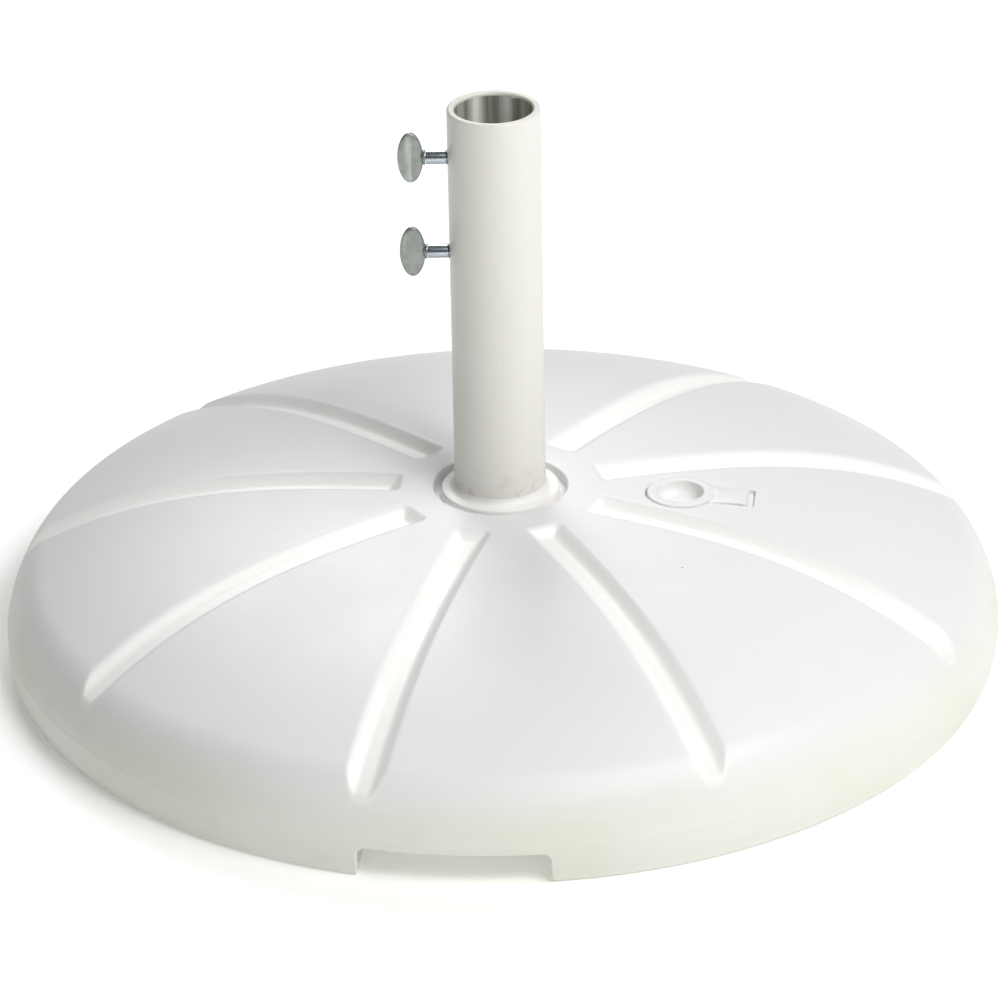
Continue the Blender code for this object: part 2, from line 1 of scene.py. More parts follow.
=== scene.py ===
"""Parasol base: finished surfaces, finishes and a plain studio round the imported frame.

Metres, +Z up along the pole tube, the filler plug on +X and the thumb screws on -X.
Each sub-assembly is a class that holds its sizes, builds its surfaces and dresses them.
"""

import functools
import logging
import math
from dataclasses import dataclass, field
from enum import Enum
from typing import Any, Callable, Sequence

import bpy
import numpy as np
from mathutils import Matrix, Vector


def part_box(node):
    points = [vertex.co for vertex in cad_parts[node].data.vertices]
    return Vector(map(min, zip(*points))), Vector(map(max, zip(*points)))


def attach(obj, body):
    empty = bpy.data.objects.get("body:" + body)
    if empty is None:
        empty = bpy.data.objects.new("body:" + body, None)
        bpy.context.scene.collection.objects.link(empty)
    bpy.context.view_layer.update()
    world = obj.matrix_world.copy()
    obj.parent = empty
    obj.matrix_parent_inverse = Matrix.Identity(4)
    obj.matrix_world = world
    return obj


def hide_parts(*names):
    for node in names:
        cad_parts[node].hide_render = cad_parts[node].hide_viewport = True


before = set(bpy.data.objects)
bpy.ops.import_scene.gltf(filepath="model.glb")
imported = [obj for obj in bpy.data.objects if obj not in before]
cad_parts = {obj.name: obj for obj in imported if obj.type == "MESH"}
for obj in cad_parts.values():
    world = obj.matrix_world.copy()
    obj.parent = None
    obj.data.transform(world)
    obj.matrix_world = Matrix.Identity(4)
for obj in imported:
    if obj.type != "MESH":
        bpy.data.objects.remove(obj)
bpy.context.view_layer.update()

LOG = logging.getLogger("parasol_base")
CREASE_DEG = 32
CASTING_CREASE_DEG = 50
QUARTER_TURN = (0, math.pi / 2)
Pair = tuple[float, float]
Triple = tuple[float, float, float]
Outline = Sequence[Triple]
Piece = bpy.types.Object
Material = bpy.types.Material


class Axis(Enum):
    """The line that a turned piece is spun round."""

    UP = "up the pole"
    ACROSS = "across the pole"


# ---------------------------------------------------------------- outlines and surfaces


def spread(ends: Pair, steps: int) -> np.ndarray:
    """Evenly spaced values from the first end to the second, both kept."""
    return np.linspace(ends[0], ends[1], steps + 1)


def around(steps: int) -> np.ndarray:
    """Evenly spaced angles once round, without the one that repeats the first."""
    return spread((0, 2 * math.pi), steps)[:-1]


def ringed(radius: np.ndarray, angle: np.ndarray, height: Any, axis: Axis = Axis.UP) -> np.ndarray:
    """Points round an axis: the radius times the cosine and the sine, and the height along it.

    Args:
        radius: Distance of each point from the axis.
        angle: Its angle round the axis.
        height: Its place along the axis.
        axis: The line that the points go round.

    Returns:
        The points, with x, y and z in the last place.
    """
    first, second = radius * np.cos(angle), radius * np.sin(angle)
    along = np.broadcast_to(height, first.shape)
    order = (first, second, along) if axis is Axis.UP else (along, first, second)
    return np.stack(order, axis=-1)


def rounded(corners: Outline, steps: int = 5, closed: bool = True) -> np.ndarray:
    """Outline points in which each corner is turned by an arc.

    The arc touches both sides at the rounding over the tangent of half the corner's angle,
    and its points divide the swing from one touching point to the other evenly.

    Args:
        corners: (radius or width, height, rounding) of each corner in order.
        steps: Spans in each arc.
        closed: Whether the last corner joins the first; if not, both ends stay sharp.

    Returns:
        The points, one row each.
    """
    places = np.array([corner[:2] for corner in corners], float)
    points = []
    for i, (_, _, rounding) in enumerate(corners):
        at_end = not closed and i in (0, len(corners) - 1)
        if rounding == 0 or at_end:
            points.append(places[i][None])
            continue
        back = places[i - 1] - places[i]
        onward = places[(i + 1) % len(corners)] - places[i]
        back, onward = back / np.linalg.norm(back), onward / np.linalg.norm(onward)
        half = math.acos(float(np.clip(back @ onward, -1, 1))) / 2
        middle = (back + onward) / np.linalg.norm(back + onward)
        centre = places[i] + middle * rounding / math.sin(half)
        start = places[i] + back * rounding / math.tan(half) - centre
        end = places[i] + onward * rounding / math.tan(half) - centre
        swing = math.pi - 2 * half
        way = spread((0, 1), steps)[:, None]
        arc = (np.sin((1 - way) * swing) * start + np.sin(way * swing) * end) / math.sin(swing)
        points.append(centre + arc)
    return np.concatenate(points)


def grid_faces(rows: int, columns: int, rows_close: bool, columns_close: bool = True) -> np.ndarray:
    """Corner numbers of the quads of a grid of points, row by row."""
    index = np.arange(rows * columns).reshape(rows, columns)
    if rows_close:
        index = np.concatenate([index, index[:1]])
    if columns_close:
        index = np.concatenate([index, index[:, :1]], axis=1)
    quads = (index[:-1, :-1], index[:-1, 1:], index[1:, 1:], index[1:, :-1])
    return np.stack(quads, axis=-1).reshape(-1, 4)


def facing_out(points: np.ndarray, faces: list[np.ndarray]) -> list[np.ndarray]:
    """The same faces, all turned over if the volume that they enclose comes out negative."""
    fans = np.concatenate(
        [face[:, [0, i, i + 1]] for face in faces for i in range(1, face.shape[1] - 1)]
    )
    a, b, c = (points[fans[:, i]] for i in range(3))
    if np.einsum("ij,ij->", a, np.cross(b, c)) < 0:
        return [face[:, ::-1] for face in faces]
    return faces


def linked(name: str, data: Any) -> Piece:
    """A new object of the scene that shows a mesh, a lamp or a camera."""
    made = bpy.data.objects.new(name, data)
    bpy.context.scene.collection.objects.link(made)
    return made


def creased(mesh: bpy.types.Mesh, crease_deg: float = CREASE_DEG) -> bpy.types.Mesh:
    """Shades a mesh smooth and keeps its edges above an angle sharp."""
    mesh.shade_smooth()
    mesh.set_sharp_from_angle(angle=math.radians(crease_deg))
    return mesh


def add_piece(name: str, points: np.ndarray, faces: list[np.ndarray]) -> Piece:
    """Puts a closed surface into the scene with its faces pointing out.

    Args:
        name: The new piece's name.
        points: One row of x, y and z for each point.
        faces: Blocks of faces with the same number of corners.

    Returns:
        The piece.
    """
    mesh = bpy.data.meshes.new(name)
    loops = [face.tolist() for block in facing_out(points, faces) for face in block]
    mesh.from_pydata(points.tolist(), [], loops)
    mesh.validate()
    return linked(name, creased(mesh))


def lidded(points: np.ndarray, name: str, ring_rows: tuple[bool, bool]) -> Piece:
    """A tube of rings of points whose open ends close in a fan round their middles.

    Args:
        points: [row, column, xyz], closed round its columns.
        name: The new piece's name.
        ring_rows: Whether the first and the last row get a lid.

    Returns:
        The piece.
    """
    rows, columns = points.shape[:2]
    flat = points.reshape(-1, 3)
    faces = [grid_faces(rows, columns, rows_close=False)]
    around = np.arange(columns)
    after = np.roll(around, -1)
    for wanted, row, order in ((ring_rows[0], 0, 1), (ring_rows[1], rows - 1, -1)):
        if not wanted:
            continue
        hub = np.full(columns, len(flat))
        flat = np.concatenate([flat, points[row].mean(axis=0)[None]])
        lid = np.stack([hub, row * columns + after, row * columns + around], axis=1)
        faces.append(lid[:, ::order])
    return add_piece(name, flat, faces)


def turned(name: str, profile: np.ndarray, steps: int = 96, axis: Axis = Axis.UP) -> Piece:
    """A profile of (radius, height) spun round an axis.

    Every point of the profile is repeated at even angles. A profile that starts and ends on
    the axis gets a fan round each end, and any other one closes on itself as a ring.

    Args:
        name: The new piece's name.
        profile: (radius, height) of each point in order.
        steps: Columns round the axis.
        axis: The line that the profile is spun round.

    Returns:
        The piece.
    """
    solid = bool(np.isclose(profile[0, 0], 0) and np.isclose(profile[-1, 0], 0))
    used = profile[1:-1] if solid else profile
    points = ringed(used[:, 0, None], around(steps), used[:, 1, None], axis)
    if solid:
        return lidded(points, name, (True, True))
    return add_piece(name, points.reshape(-1, 3), [grid_faces(len(used), steps, True)])


def pin(name: str, radius: float, low: float, top: float, steps: int = 48, axis: Axis = Axis.UP) -> Piece:
    """A plain round bar between two places on an axis, for cutting with."""
    profile = np.array([(0, top), (radius, top), (radius, low), (0, low)])
    return turned(name, profile, steps, axis)


def moved(piece: Piece, matrix: Matrix) -> Piece:
    """Puts a piece in place by moving its mesh, so that its object stays at the origin."""
    piece.data.transform(matrix)
    return piece


def cut(target: Piece, tool: Piece, operation: str = "DIFFERENCE") -> None:
    """Takes a closed tool out of a closed piece, keeps a plain mesh and drops the tool.

    Args:
        target: The piece that stays.
        tool: The piece that is used up.
        operation: DIFFERENCE, or UNION to join the two.
    """
    modifier = target.modifiers.new(operation.title(), "BOOLEAN")
    modifier.operation = operation
    modifier.solver = "MANIFOLD"
    modifier.object = tool
    settle(target)
    bpy.data.objects.remove(tool)


def fuse(target: Piece, tool: Piece) -> None:
    """Joins a closed tool to a closed piece."""
    cut(target, tool, "UNION")


def settle(piece: Piece, crease_deg: float = CREASE_DEG) -> None:
    """Writes the modifiers of a piece into its mesh."""
    graph = bpy.context.evaluated_depsgraph_get()
    mesh = bpy.data.meshes.new_from_object(piece.evaluated_get(graph), depsgraph=graph)
    piece.modifiers.clear()
    piece.data = creased(mesh, crease_deg)


def corners_of(piece: Piece) -> np.ndarray:
    """The mesh's points as rows of x, y and z."""
    values = np.empty(len(piece.data.vertices) * 3, np.float32)
    piece.data.vertices.foreach_get("co", values)
    return values.reshape(-1, 3).astype(float)


def mark(piece: Piece, name: str, values: np.ndarray) -> None:
    """Stores one number for each point of a mesh, for a finish to read."""
    attribute = piece.data.attributes.new(name, "FLOAT", "POINT")
    attribute.data.foreach_set("value", values.astype(np.float32))


def flared_tool(
    name: str,
    outline: Callable[[float], np.ndarray],
    place: Callable[[np.ndarray, float], np.ndarray],
    depth: float,
    lip: float,
    toe: float,
) -> Piece:
    """A cutter for a recess with a rounded lip and a rounded floor edge.

    It is a stack of outlines. At the skin the outline is larger by the lip's rounding, it
    closes along a quarter circle to its own size one rounding down, runs straight to the
    toe, and draws in along another quarter circle to the floor.

    Args:
        name: The tool's name.
        outline: Gives the recess's outline grown by an amount.
        place: Takes an outline and a level under the skin to points in the frame.
        depth: From the skin to the floor.
        lip: Rounding of the edge at the skin.
        toe: Rounding of the edge at the floor.

    Returns:
        The cutter, which starts a little above the skin.
    """
    above = 0.012
    quarter = spread(QUARTER_TURN, 5)
    toe_levels = -depth + toe * (1 - np.sin(quarter))
    levels = np.concatenate([[above], lip * (np.cos(quarter) - 1), toe_levels])
    grows = np.concatenate([[lip], lip * (1 - np.sin(quarter)), -toe * (1 - np.cos(quarter))])
    rings = [place(outline(float(grow)), float(level)) for level, grow in zip(levels, grows)]
    return lidded(np.array(rings), name, (True, True))


def rounded_bar(width: float, height: float, corner: float, steps: int = 6) -> np.ndarray:
    """The outline of a bar centred on its middle, with its four corners rounded and closed."""
    w, h = width / 2, height / 2
    return rounded([(-w, -h, corner), (w, -h, corner), (w, h, corner), (-w, h, corner)], steps)


def dense(outline: np.ndarray, like: np.ndarray, spacing: float) -> np.ndarray:
    """A closed outline with its sides divided, so that it can follow a curved skin.

    Args:
        outline: The outline's corners.
        like: Another size of the same outline, whose sides set how many parts each gets.
        spacing: The longest part that a side of that one is divided into.

    Returns:
        The points, as many for every size of the outline.
    """
    ends = np.roll(outline, -1, axis=0)
    lengths = np.linalg.norm(np.roll(like, -1, axis=0) - like, axis=1)
    counts = np.maximum(1, np.ceil(lengths / spacing)).astype(int)
    start = np.repeat(np.arange(len(outline)), counts)
    order = np.arange(counts.sum()) - np.repeat(np.cumsum(counts) - counts, counts)
    way = (order / counts[start])[:, None]
    return outline[start] * (1 - way) + ends[start] * way


# ---------------------------------------------------------------- shader maths


@dataclass(frozen=True)
class Signal:
    """One output of a finish's graph; sums and products of signals add Math nodes."""

    graph: "Graph"
    socket: Any

    def _math(self, operation: str, first: Any, second: Any) -> "Signal":
        """The result of one Math node."""
        return self.graph.node("ShaderNodeMath", {"operation": operation}, {0: first, 1: second})

    def __add__(self, other: Any) -> "Signal":
        """This plus another."""
        return self._math("ADD", self, other)

    __radd__ = __add__

    def __sub__(self, other: Any) -> "Signal":
        """This less another."""
        return self._math("SUBTRACT", self, other)

    def __rsub__(self, other: Any) -> "Signal":
        """Another less this."""
        return self._math("SUBTRACT", other, self)

    def __mul__(self, other: Any) -> "Signal":
        """This times another."""
        return self._math("MULTIPLY", self, other)

    __rmul__ = __mul__

    def over(self, level: float) -> "Signal":
        """1 where this is above a level, 0 elsewhere."""
        return self._math("GREATER_THAN", self, level)


class Graph:
    """The node graph of one finish, with its shader already in place."""

    def __init__(self, name: str) -> None:
        """Makes an empty material of that name."""
        self.material = bpy.data.materials.new(name)
        self.material.use_nodes = True
        self.tree = self.material.node_tree
        self.shader = self.tree.nodes["Principled BSDF"]

    def node(
        self,
        kind: str,
        settings: dict[str, Any] | None = None,
        sockets: dict[Any, Any] | None = None,
        output: Any = 0,
    ) -> Signal:
        """Adds a node: its settings first, then the values and links of its sockets.

        Args:
            kind: The node's type.
            settings: What the node itself is set to, such as a Math node's operation.
            sockets: A value or a signal for each input, by name or number.
            output: The output that is wanted, by name or number.

        Returns:
            That output.
        """
        made = self.tree.nodes.new(kind)
        for key, value in (settings or {}).items():
            setattr(made, key, value)
        for key, value in (sockets or {}).items():
            self._feed(made.inputs[key], value)
        return Signal(self, made.outputs[output])

    def _feed(self, socket: Any, value: Any) -> None:
        """Links a signal to a socket, or sets the socket's own value."""
        if isinstance(value, Signal):
            self.tree.links.new(value.socket, socket)
        else:
            socket.default_value = value

    def place(self, scale: Triple = (1, 1, 1)) -> Signal:
        """Object coordinates, which are the metres of the frame, stretched by a scale."""
        where = self.node("ShaderNodeTexCoord", output="Object")
        return self.node("ShaderNodeMapping", None, {"Vector": where, "Scale": scale})

    def noise(self, where: Signal, scale: float, detail: float = 2.0, roughness: float = 0.5) -> Signal:
        """Cloudy noise from 0 to 1."""
        sockets = {"Vector": where, "Scale": scale, "Detail": detail, "Roughness": roughness}
        return self.node("ShaderNodeTexNoise", None, sockets, "Fac")

    def cells(self, where: Signal, scale: float, output: str = "Distance") -> Signal:
        """Distance to the nearest of a scatter of points, or that point's own colour."""
        return self.node("ShaderNodeTexVoronoi", None, {"Vector": where, "Scale": scale}, output)

    def lot(self, where: Signal, scale: float) -> Signal:
        """A number from 0 to 1 drawn for each of a scatter of points."""
        return self.node("ShaderNodeSeparateColor", None, {0: self.cells(where, scale, "Color")})

    def between(self, value: Signal, low: float, high: float) -> Signal:
        """0 below one level, 1 above another and a smooth ease between them."""
        sockets = {"Value": value, "From Min": low, "From Max": high}
        return self.node("ShaderNodeMapRange", {"interpolation_type": "SMOOTHSTEP"}, sockets)

    def blend(self, share: Any, first: Any, second: Any) -> Signal:
        """Two colours mixed by a share."""
        colours = [(*c, 1.0) if isinstance(c, tuple) else c for c in (first, second)]
        sockets = {0: share, 6: colours[0], 7: colours[1]}
        return self.node("ShaderNodeMix", {"data_type": "RGBA"}, sockets, 2)

    def attribute(self, name: str) -> Signal:
        """A number stored on the points of the mesh."""
        return self.node("ShaderNodeAttribute", {"attribute_name": name}, None, "Fac")

    def relief(self, height: Signal, distance: float) -> Signal:
        """A bump whose full height is a distance in metres."""
        sockets = {"Height": height, "Distance": distance, "Strength": 1.0}
        return self.node("ShaderNodeBump", None, sockets, "Normal")

    def finish(self, **sockets: Any) -> Material:
        """Feeds the shader's sockets, named with underscores for spaces, and ends the graph."""
        for name, value in sockets.items():
            wanted = name.replace("_", " ").title().replace("Ior", "IOR")
            self._feed(self.shader.inputs[wanted], (*value, 1.0) if isinstance(value, tuple) else value)
        return self.material


# ---------------------------------------------------------------- finishes


@dataclass(frozen=True)
class MouldedResin:
    """Hollow-moulded white resin: faintly mottled, orange-peel skin, dust with painted crevice shade,
    painted bounce light in the flutes and painted shade on the lower wall.
    """

    name: str
    colour: Triple = (0.905, 0.893, 0.903)
    shade: Triple = (0.872, 0.860, 0.872)
    flute_light: Triple = (0.985, 0.980, 0.960)
    painted_wall_shade: Triple = (0.820, 0.832, 0.735)
    dust_and_shade: Triple = (0.72, 0.69, 0.63)
    speck: Triple = (0.10, 0.095, 0.085)
    roughness: float = 0.46
    peel: float = 0.00006
    speckled: bool = True

    def material(self) -> Material:
        """Builds the finish."""
        graph = Graph(self.name)
        where = graph.place()
        cloud = graph.between(graph.noise(where, 14.0, 3.0), 0.35, 0.7)
        fine = graph.noise(where, 260.0, 2.0)
        colour = graph.blend(cloud * 0.6 + fine * 0.3, self.colour, self.shade)
        # Painted bounce light: the flute floors are lighter than the dome round them.
        colour = graph.blend(graph.attribute("flute_light") * (0.85 + fine * 0.25), colour, self.flute_light)
        # Painted shade: an olive, darker tint on the lower side wall, under the dome's edge.
        colour = graph.blend(graph.attribute("painted_wall_shade") * (0.6 + cloud * 0.5), colour, self.painted_wall_shade)
        # Dust and painted crevice shade: darker at the moat, the foot, the collar's edges and down in the
        # plug's seat, broken up by noise.
        wear = graph.between(graph.noise(where, 60.0, 4.0, 0.6), 0.5, 0.85)
        colour = graph.blend(graph.attribute("dust_and_shade") * wear * 0.45, colour, self.dust_and_shade)
        if self.speckled:
            grain = graph.cells(where, 52.0)
            chosen = graph.lot(where, 52.0)
            speck = (1 - graph.between(grain, 0.028, 0.042)) * chosen.over(0.955)
            colour = graph.blend(speck * 0.8, colour, self.speck)
        peel = graph.noise(where, 850.0, 2.0, 0.45)
        sway = graph.noise(where, 28.0, 1.0)
        normal = graph.relief(peel * 0.5 + sway * 2.0, self.peel)
        roughness = self.roughness + (cloud - 0.5) * 0.08 + (fine - 0.5) * 0.06
        return graph.finish(base_color=colour, roughness=roughness, normal=normal, specular_ior_level=0.42)


@dataclass(frozen=True)
class PowderCoat:
    """Warm white powder coat over steel: fine orange peel and a little grime at its foot."""

    name: str = "white_powder_coat"
    colour: Triple = (0.840, 0.830, 0.775)
    shade: Triple = (0.790, 0.785, 0.715)
    grime: Triple = (0.50, 0.47, 0.40)
    roughness: float = 0.38
    foot: float = 0.097

    def material(self) -> Material:
        """Builds the finish."""
        graph = Graph(self.name)
        where = graph.place()
        cloud = graph.noise(where, 24.0, 3.0)
        streak = graph.noise(graph.place(scale=(1, 1, 0.12)), 90.0, 3.0)
        colour = graph.blend(cloud * 0.5 + streak * 0.35, self.colour, self.shade)
        height = graph.node("ShaderNodeSeparateXYZ", None, {0: graph.place()}, 2)
        low = 1 - graph.between(height, self.foot, self.foot + 0.022)
        blotch = graph.between(graph.noise(where, 130.0, 4.0, 0.6), 0.48, 0.72)
        colour = graph.blend(low * blotch * 0.4, colour, self.grime)
        scuff = graph.between(graph.noise(graph.place(scale=(1, 1, 0.25)), 210.0, 5.0, 0.7), 0.66, 0.74)
        colour = graph.blend(scuff * 0.18, colour, self.grime)
        peel = graph.noise(where, 1300.0, 2.0)
        roughness = self.roughness + (cloud - 0.5) * 0.10 + scuff * 0.12
        normal = graph.relief(peel, 0.00003)
        return graph.finish(
            base_color=colour, roughness=roughness, normal=normal, coat_weight=0.12, coat_roughness=0.2
        )


@dataclass(frozen=True)
class Steel:
    """Metal with drawn or rolled streaks, cloudy tarnish and small dull freckles."""

    name: str
    colour: Triple
    tarnish: Triple
    freckle: Triple
    roughness: float
    stretch: Triple = (1, 1, 1)
    streak_scale: float = 900.0
    streak_height: float = 0.000006
    freckles: float = 0.35

    def material(self) -> Material:
        """Builds the finish."""
        graph = Graph(self.name)
        where = graph.place()
        drawn = graph.noise(graph.place(scale=self.stretch), self.streak_scale, 3.0, 0.6)
        cloud = graph.between(graph.noise(where, 110.0, 4.0, 0.6), 0.35, 0.72)
        colour = graph.blend(cloud * 0.55 + drawn * 0.3, self.colour, self.tarnish)
        spots = graph.between(graph.noise(where, 700.0, 4.0, 0.65), 0.62, 0.72)
        colour = graph.blend(spots * self.freckles, colour, self.freckle)
        roughness = self.roughness + (drawn - 0.5) * 0.22 + cloud * 0.08 + spots * 0.15
        normal = graph.relief(drawn, self.streak_height)
        return graph.finish(base_color=colour, roughness=roughness, normal=normal, metallic=1.0)


@dataclass(frozen=True)
class BoreSteel:
    """The tube's bare inside: drawn steel, dull and oiled, with painted highlights in upright streaks along
    some lines.
    """

    name: str = "bore_steel"
    dull: Triple = (0.27, 0.275, 0.225)
    middle: Triple = (0.50, 0.505, 0.455)
    highlight_colour: Triple = (0.98, 0.975, 0.92)

    def material(self) -> Material:
        """Builds the finish."""
        graph = Graph(self.name)
        drawn = graph.noise(graph.place(scale=(1, 1, 0.02)), 520.0, 4.0, 0.6)
        cloud = graph.noise(graph.place(), 150.0, 4.0, 0.6)
        colour = graph.blend(graph.between(drawn, 0.35, 0.65), self.dull, self.middle)
        # Painted highlights: bright upright streaks at set bearings round the bore, less metallic and
        # smoother.
        painted_highlight = graph.attribute("painted_highlight") * (0.7 + drawn * 0.6) * (0.8 + cloud * 0.4)
        colour = graph.blend(painted_highlight, colour, self.highlight_colour)
        roughness = 0.42 + (cloud - 0.5) * 0.2 - painted_highlight * 0.12
        metallic = 0.5 - painted_highlight * 0.45
        normal = graph.relief(drawn, 0.00001)
        return graph.finish(base_color=colour, roughness=roughness, metallic=metallic, normal=normal)


@dataclass(frozen=True)
class CastZinc:
    """Die-cast zinc: dull grey-green, grainy, with painted reflections in paler upright bands."""

    name: str = "cast_zinc"
    colour: Triple = (0.37, 0.405, 0.375)
    painted_highlight: Triple = (0.64, 0.67, 0.63)
    dark: Triple = (0.22, 0.25, 0.23)
    roughness: float = 0.40

    def material(self) -> Material:
        """Builds the finish."""
        graph = Graph(self.name)
        where = graph.place()
        banded = graph.noise(graph.place(scale=(1.0, 1.0, 0.08)), 300.0, 1.0)
        cloud = graph.between(graph.noise(where, 190.0, 4.0, 0.6), 0.35, 0.7)
        colour = graph.blend(cloud * 0.35, self.colour, self.dark)
        # Painted reflection: paler upright bands across the head.
        colour = graph.blend(graph.between(banded, 0.5, 0.75) * 0.55, colour, self.painted_highlight)
        grain = graph.noise(where, 2600.0, 3.0, 0.6)
        roughness = self.roughness + (grain - 0.5) * 0.2 + cloud * 0.08
        normal = graph.relief(grain * 0.6 + banded, 0.00003)
        return graph.finish(base_color=colour, roughness=roughness, normal=normal, metallic=0.85)


@dataclass(frozen=True)
class Sand:
    """Loose ballast sand: grains of several colours with damp patches."""

    name: str = "ballast_sand"
    pale: Triple = (0.66, 0.56, 0.41)
    dark: Triple = (0.40, 0.31, 0.21)
    quartz: Triple = (0.80, 0.76, 0.68)

    def material(self) -> Material:
        """Builds the finish."""
        graph = Graph(self.name)
        where = graph.place()
        grain = graph.lot(where, 1500.0)
        damp = graph.between(graph.noise(where, 35.0, 3.0), 0.45, 0.65)
        colour = graph.blend(grain * 0.6 + damp * 0.35, self.pale, self.dark)
        colour = graph.blend(grain.over(0.88), colour, self.quartz)
        bed = graph.cells(where, 1500.0) * -1.0 + graph.noise(where, 120.0, 3.0) * 3.0
        return graph.finish(base_color=colour, roughness=0.95, normal=graph.relief(bed, 0.0006))


BODY_RESIN = MouldedResin("white_resin")
COLLAR_RESIN = MouldedResin(
    "collar_resin", colour=(0.96, 0.95, 0.925), shade=(0.93, 0.92, 0.89), speckled=False
)
PLUG_RESIN = MouldedResin(
    "plug_resin", colour=(0.905, 0.90, 0.885), roughness=0.40, peel=0.00003, speckled=False
)
BORE_STEEL = BoreSteel()
BARE_STEEL = Steel(
    "bare_steel", (0.33, 0.35, 0.32), (0.17, 0.18, 0.155), (0.20, 0.13, 0.08), 0.30,
    stretch=(1, 1, 0.03), streak_scale=700.0,
)
ZINC_PLATE = Steel(
    "zinc_plate", (0.60, 0.67, 0.71), (0.38, 0.44, 0.48), (0.60, 0.56, 0.44), 0.22,
    streak_height=0.000003, freckles=0.2,
)


@functools.cache
def material_of(finish: Any) -> Material:
    """The material of a finish, built once and shared by its pieces."""
    return finish.material()


def dress(piece: Piece, *finishes: Any) -> Piece:
    """Gives a piece its finishes, one material slot each."""
    piece.data.materials.clear()
    for finish in finishes:
        piece.data.materials.append(material_of(finish))
    return piece


def hand_over(piece: Piece, body: str, slot: str, *nodes: str) -> None:
    """Rides a piece on its body and hides the nodes that it stands for."""
    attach(piece, body)
    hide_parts(*nodes)
    LOG.info("%s: %d faces on %s", piece.name, len(piece.data.polygons), body)


# ---------------------------------------------------------------- the moulded body


@dataclass
class FillerPlace:
    """Where the filler and its plug sit, and the sizes that both share."""

    radius: float = 0.099
    turn_deg: float = -6.8
    seat_radius: float = 0.0193
    slot_width: float = 0.0206
    slot_end: float = 0.0405
    slot_corner: float = 0.002
    seat_depth: float = 0.0037
    neck_radius: float = 0.0148
    neck_depth: float = 0.030

    def matrix(self, height: float) -> Matrix:
        """The filler's own axes: its tab points along +X from its middle."""
        turn = Matrix.Rotation(math.radians(self.turn_deg), 4, "Z")
        return turn @ Matrix.Translation((self.radius, 0, height))


